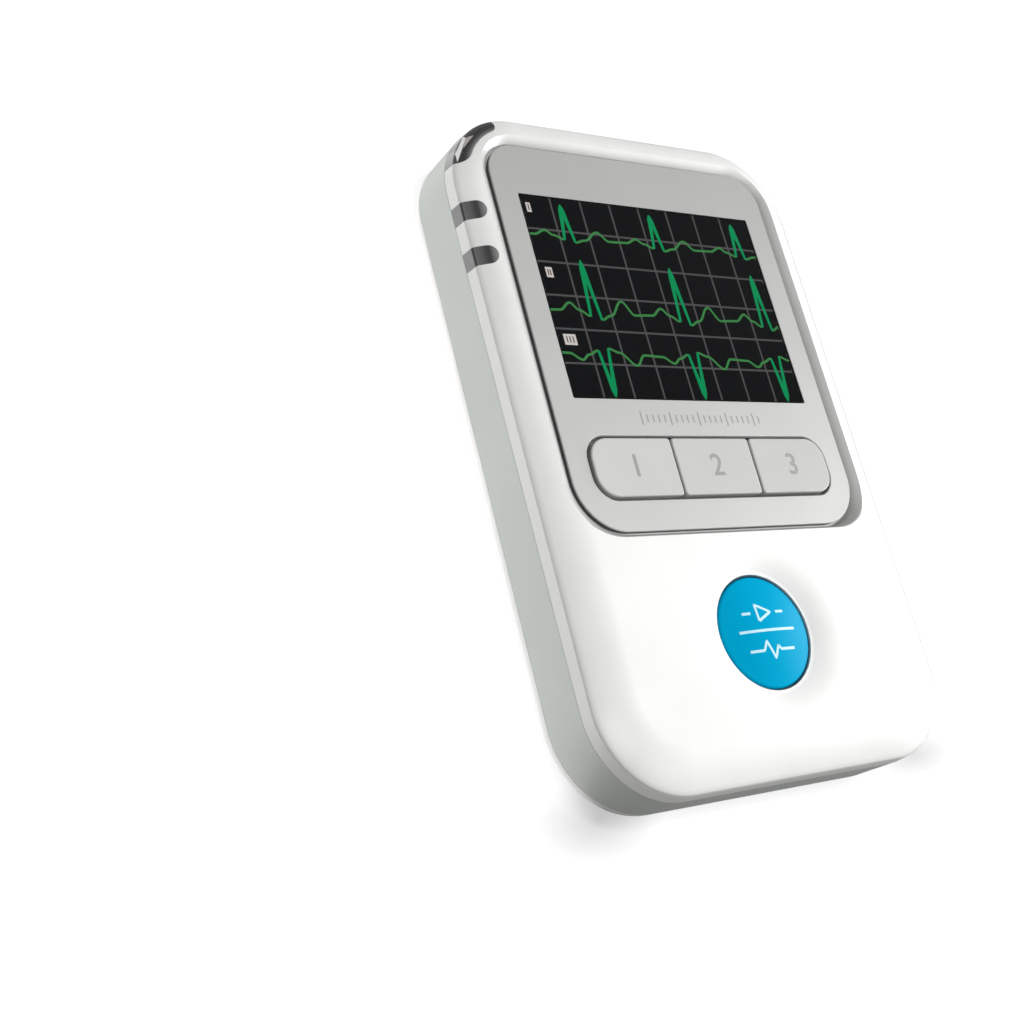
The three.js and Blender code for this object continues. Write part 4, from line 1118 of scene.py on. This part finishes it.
def draw_scale(shape):
    """A plain ruled scale under the screen, with a longer tick every fifth."""
    y = screen_y - screen_height / 2 - SCALE_BELOW_SCREEN
    for i in range(SCALE_TICKS):
        x = -SCALE_WIDTH / 2 + i * SCALE_WIDTH / (SCALE_TICKS - 1)
        half = TICK_HALF if i % SCALE_GROUP else LONG_TICK_HALF
        strip(shape, [(x, y - half), (x, y + half)], TICK_WIDTH)


def make_screen():
    """A clear pane over a picture that is a tray with a dark rim, so that no side light gets in."""
    pane = soft_plate(screen_outline, panel_top - GLASS_THICKNESS, panel_top, GLASS_EDGE)
    complete(pane, "screen_glass", clear, "recorder", "clear_window", "display_window")
    picture = plate(screen_outline(SCREEN_RIM), window_low.z, panel_top - SCREEN_RIM_DROP)
    carve(picture, plate(screen_outline(SCREEN_PLAY), picture_top, panel_top))
    complete(picture, "screen_picture", screen_dark, "recorder", "display_black", "display_window")
    layers = [
        ("screen_grid", screen_grid, draw_grid),
        ("screen_traces", screen_line, draw_traces),
        ("screen_spikes", screen_spike, draw_spikes),
        ("screen_tags", screen_tag, draw_tags),
        ("screen_tag_bars", screen_dark, draw_tag_bars),
    ]
    for i, (name, material, draw) in enumerate(layers):
        graphic(name, material, "recorder", "display_black", draw, flat(picture_top + i * PRINT_THICKNESS))


# Panel and keys

def make_panel():
    """A thin grey sheet on a dark backing, which also paints the shade in the gap round the sheet, with the
    openings for the screen and the keys.
    """
    sheet_bottom = panel_top - PANEL_SHEET
    panel = soft_plate(panel_outline, sheet_bottom, panel_top, PANEL_EDGE)
    backing = plate(panel_outline(-BACKING_INSET), panel_bottom, sheet_bottom)

    def opening(outline, margin):
        return flared_hole(lambda grow: outline(margin + grow), sheet_bottom - PAST, panel_top, HOLE_EDGE)

    carve(panel, opening(screen_outline, SCREEN_MARGIN), opening(key_row_outline, KEY_SURROUND))
    carve(backing,
          plate(screen_outline(SCREEN_MARGIN), panel_bottom - PAST, panel_top),
          plate(key_row_outline(KEY_GAP), panel_bottom - PAST, panel_top))
    complete(panel, "front_panel", panel_grey, "recorder", "panel_grey", "display_panel")
    complete(backing, "panel_backing", panel_dark, "recorder", "black_plastic", "display_panel")


def make_key(number):
    """A key's cap on its flange: only the row's ends are well rounded."""
    body = f"key_{number}"
    left = KEY_RADIUS if number == 1 else KEY_INNER_RADIUS
    right = KEY_RADIUS if number == 3 else KEY_INNER_RADIUS
    centre = (key_row_low_x + key_width / 2 + (number - 1) * (key_width + KEY_GAP), key_row_y)

    def outline(grow):
        return rounded(key_width, key_row_height, [right, left, left, right], centre, SMALL_STEPS, grow)

    xs, ys, (bottom, _) = room_round(body, 0)
    cap = soft_plate(outline, bottom + KEY_FLANGE - OVERLAP, key_top, KEY_EDGE)
    add(cap, block(xs, ys, (bottom, bottom + KEY_FLANGE)))
    complete(cap, f"key_cap_{number}", key_grey, body, "key_grey", body)
    make_numeral(str(number), centre, body)


def make_numeral(text, centre, body):
    """A plain number printed on a key."""
    curve = bpy.data.curves.new("numeral", "FONT")
    curve.body = text
    curve.size = NUMERAL_HEIGHT
    curve.offset = NUMERAL_WEIGHT
    curve.align_x = "CENTER"
    curve.align_y = "CENTER"
    curve.extrude = PRINT_THICKNESS / 2
    source = linked("numeral", curve)
    graph = bpy.context.evaluated_depsgraph_get()
    mesh = bpy.data.meshes.new_from_object(source.evaluated_get(graph))
    bpy.data.objects.remove(source)
    mesh.transform(Matrix.Translation((*centre, key_top + PRINT_THICKNESS / 2)))
    complete(linked("numeral", mesh), f"numeral_{text}", print_grey, body, "key_grey")


# Event button

def crown(x, y):
    """Level of the button's crown."""
    share = min(math.hypot(x, y - button_y) / (BUTTON_RADIUS - BUTTON_EDGE), 1)
    return button_rim + BUTTON_CROWN * (1 - share ** 2)


def make_button():
    flange_radius = button_high.x
    flange_top = button_low.z + BUTTON_FLANGE
    profile = [(0, button_low.z), (flange_radius, button_low.z), (flange_radius, flange_top),
               (BUTTON_RADIUS, flange_top)]
    for step in range(EDGE_STEPS + 1):
        angle = step / EDGE_STEPS * BUTTON_EDGE_TURN
        profile.append((BUTTON_RADIUS - BUTTON_EDGE * (1 - math.cos(angle)),
                        button_rim - BUTTON_EDGE * (1 - math.sin(angle))))
    for step in range(DOME_STEPS + 1):
        radius = (BUTTON_RADIUS - BUTTON_EDGE) * (1 - step / DOME_STEPS)
        profile.append((radius, crown(radius, button_y)))
    button = lathe(profile, (0, button_y))
    complete(button, "event_cap", blue, "event_button", "event_blue", "event_button")


def draw_button_marks(shape):
    """The marks in short steps, so that they follow the crown."""
    for corners in MARKS:
        points = []
        for (x0, y0), (x1, y1) in zip(corners, corners[1:]):
            points += [(x0 + (x1 - x0) * i / MARK_STEPS, y0 + (y1 - y0) * i / MARK_STEPS)
                       for i in range(MARK_STEPS)]
        points.append(corners[-1])
        strip(shape, [(x, button_y + y) for x, y in points], MARK_STROKE)


def make_seal():
    """The dark ring between the button and its bore."""
    centre = (0, button_y)
    seal = rod(seal_high.x + SEAL_FIT, seal_low.z, seal_high.z, centre, ROUND_SIDES)
    carve(seal, rod(seal_high.x - SEAL_WIDTH, seal_low.z - PAST, seal_high.z + PAST, centre, ROUND_SIDES))
    soften(seal, SEAL_EDGE, 3)
    complete(settle(seal), "bore_seal", rubber, "recorder", "dark_rubber", "button_seal")


# Carried-over solids keep their shape and get edges and a finish from their slot.

SOFT_EDGES = {
    "battery_tray": 0.25, "battery_pack": 0.4, "battery_contact_block": 0.2, "card_socket": 0.1,
    "memory_card": 0.12, "main_board": 0.05, "processor_chip": 0.08, "signal_chip": 0.08, "buzzer": 0.2,
    "clock_cell": 0.2, "ribbon_connector": 0.08, "door_pad": 0.08, "door_hinge_pin": 0.08,
    "lead_socket": 0.08,
}


def dress_nodes():
    slots = {row["node"]: row["material_slot"] for row in frame["record"]["subparts"]}
    for name, node in frame["nodes"].items():
        if node.hide_render:
            continue
        node.data.materials.clear()
        node.data.materials.append(SLOT_LOOKS[slots[name]])
        if name in SOFT_EDGES:
            soften(node, SOFT_EDGES[name] * MM, 2)


# Camera and studio

def make_camera():
    data = bpy.data.cameras.new("photo_camera")
    data.sensor_width = CAMERA_SENSOR
    data.lens = CAMERA_LENS
    data.clip_start = 0.01
    data.clip_end = 20.0
    camera = linked("photo_camera", data)
    right = CAMERA_FORWARD.cross(CAMERA_UP).normalized()
    up = right.cross(CAMERA_FORWARD).normalized()
    turn = Matrix((right, up, -CAMERA_FORWARD.normalized())).transposed().to_4x4()
    camera.matrix_world = Matrix.Translation(CAMERA_PLACE) @ turn
    bpy.context.scene.camera = camera


def aim(obj, place, target):
    obj.location = place
    obj.rotation_mode = "QUATERNION"
    obj.rotation_quaternion = (Vector(target) - Vector(place)).to_track_quat("-Z", "Y")


def make_sheet(name, xs, ys, level):
    """A flat sheet that faces up and casts no shadow."""
    body = bmesh.new()
    body.faces.new([body.verts.new((x, y, level)) for x, y in
                    ((xs[0], ys[0]), (xs[1], ys[0]), (xs[1], ys[1]), (xs[0], ys[1]))])
    sheet = thing(body, closed=False)
    sheet.name = name
    sheet.visible_shadow = False
    return sheet


def make_seen_floor():
    """The white floor that the camera sees: it lights nothing and darkens close to the recorder.

    It shows from above only, so that the back can be looked at from below.
    """
    reach = (-FLOOR_REACH, FLOOR_REACH)
    floor = make_sheet("seen_floor", reach, reach, SEEN_FLOOR_LEVEL)
    floor.visible_diffuse = False
    floor.visible_glossy = False
    paint, tree, shader = painted("seen_floor_paint")

    def number(operation, first, second):
        return new_node(tree, "Math", {0: first, 1: second}, operation=operation).outputs["Value"]

    nearness = new_node(tree, "AmbientOcclusion", {"Distance": CONTACT_REACH * MM})
    covered = number("SUBTRACT", 1.0, nearness.outputs["AO"])
    contact = number("MULTIPLY", covered, along(tree, "X", CONTACT_START, CONTACT_END))
    glow = number("SUBTRACT", FLOOR_GLOW, number("MULTIPLY", contact, CONTACT_DEPTH))
    place = new_node(tree, "TexCoord", {}).outputs["Object"]
    for spot, size, depth in SHADES:
        around = new_node(tree, "Mapping", {"Vector": place, "Location": Vector((*spot, 0)) * MM,
                                            "Scale": Vector((*size, size[0])) * MM}, vector_type="TEXTURE")
        patch = new_node(tree, "TexGradient", {"Vector": around.outputs["Vector"]},
                         gradient_type="SPHERICAL")
        glow = number("SUBTRACT", glow, number("MULTIPLY", patch.outputs["Fac"], depth))
    feed(tree, shader, {"Base Color": (0, 0, 0, 1), "Specular IOR Level": 0.0,
                        "Emission Color": (1, 1, 1, 1), "Emission Strength": glow})
    from_below = new_node(tree, "NewGeometry", {}).outputs["Backfacing"]
    nothing = new_node(tree, "BsdfTransparent", {}).outputs["BSDF"]
    choice = new_node(tree, "MixShader", {0: from_below, 1: shader.outputs["BSDF"], 2: nothing})
    feed(tree, tree.nodes["Material Output"], {"Surface": choice.outputs["Shader"]})
    floor.data.materials.append(paint)


def make_lit_floor(name, xs, ys, albedo, glow):
    """A stretch of floor that only sends light up to the recorder."""
    floor = make_sheet(name, xs, ys, LIT_FLOOR_LEVEL)
    floor.visible_camera = False
    paint, tree, shader = painted(f"{name}_paint")
    feed(tree, shader, {
        "Base Color": (albedo, albedo, albedo, 1), "Roughness": 0.6, "Specular IOR Level": 0.1,
        "Emission Color": (1, 1, 1, 1), "Emission Strength": glow})
    floor.data.materials.append(paint)


def make_card(name, place, target, width, height):
    """A black card that the camera doesn't see: it only keeps bounced light off."""
    card = make_sheet(name, (-width / 2, width / 2), (-height / 2, height / 2), 0)
    card.visible_camera = False
    aim(card, place, target)
    paint, tree, shader = painted(f"{name}_black")
    feed(tree, shader, {"Base Color": (0.01, 0.01, 0.01, 1)})
    card.data.materials.append(paint)


def make_lamp(name, place, power):
    """A soft round lamp that points at the recorder."""
    data = bpy.data.lights.new(name, "AREA")
    data.shape = "DISK"
    data.size = LAMP_SIZE
    data.energy = power
    lamp = linked(name, data)
    lamp.visible_camera = False
    aim(lamp, place, (0, 0, 0))


def make_studio():
    make_seen_floor()
    make_lit_floor("left_floor", (-0.5, -0.027), (-0.046, 0.4), 0.6, 0.92)
    make_lit_floor("under_floor", (-0.027, 0.03), (-0.046, 0.4), 0.2, 0.65)
    make_lit_floor("front_floor", (-0.5, 0.5), (-0.4, -0.046), 0.2, 0.03)
    make_card("corner_card", (-0.062, -0.078, 0.012), (-0.02, -0.037, 0.006), 0.05, 0.024)
    world = bpy.data.worlds.new("studio")
    bpy.context.scene.world = world
    world.use_nodes = True
    tree = world.node_tree
    feed(tree, tree.nodes["Background"], {"Color": (1, 1, 1, 1), "Strength": WORLD_LIGHT})
    for name, (place, power) in LAMPS.items():
        make_lamp(name, place, power)
    bpy.context.scene.view_settings.view_transform = "Standard"


make_camera()
make_front_shell()
make_lining()
make_windows()
make_pipe_face("painted_lens_highlight_face", HIGHLIGHT_FACE, painted_lens_highlight)
make_pipe_face("painted_lens_highlight_side", HIGHLIGHT_SIDE, painted_lens_highlight_edge)
make_side_frame()
make_rear_shell()
make_door()
make_panel()
make_screen()
for key_number in (1, 2, 3):
    make_key(key_number)
graphic("panel_scale", print_grey, "recorder", "panel_grey", draw_scale, flat(panel_top))
make_button()
graphic("event_marks", print_white, "event_button", "event_blue", draw_button_marks, crown)
make_seal()
make_screws()
dress_nodes()
make_studio()
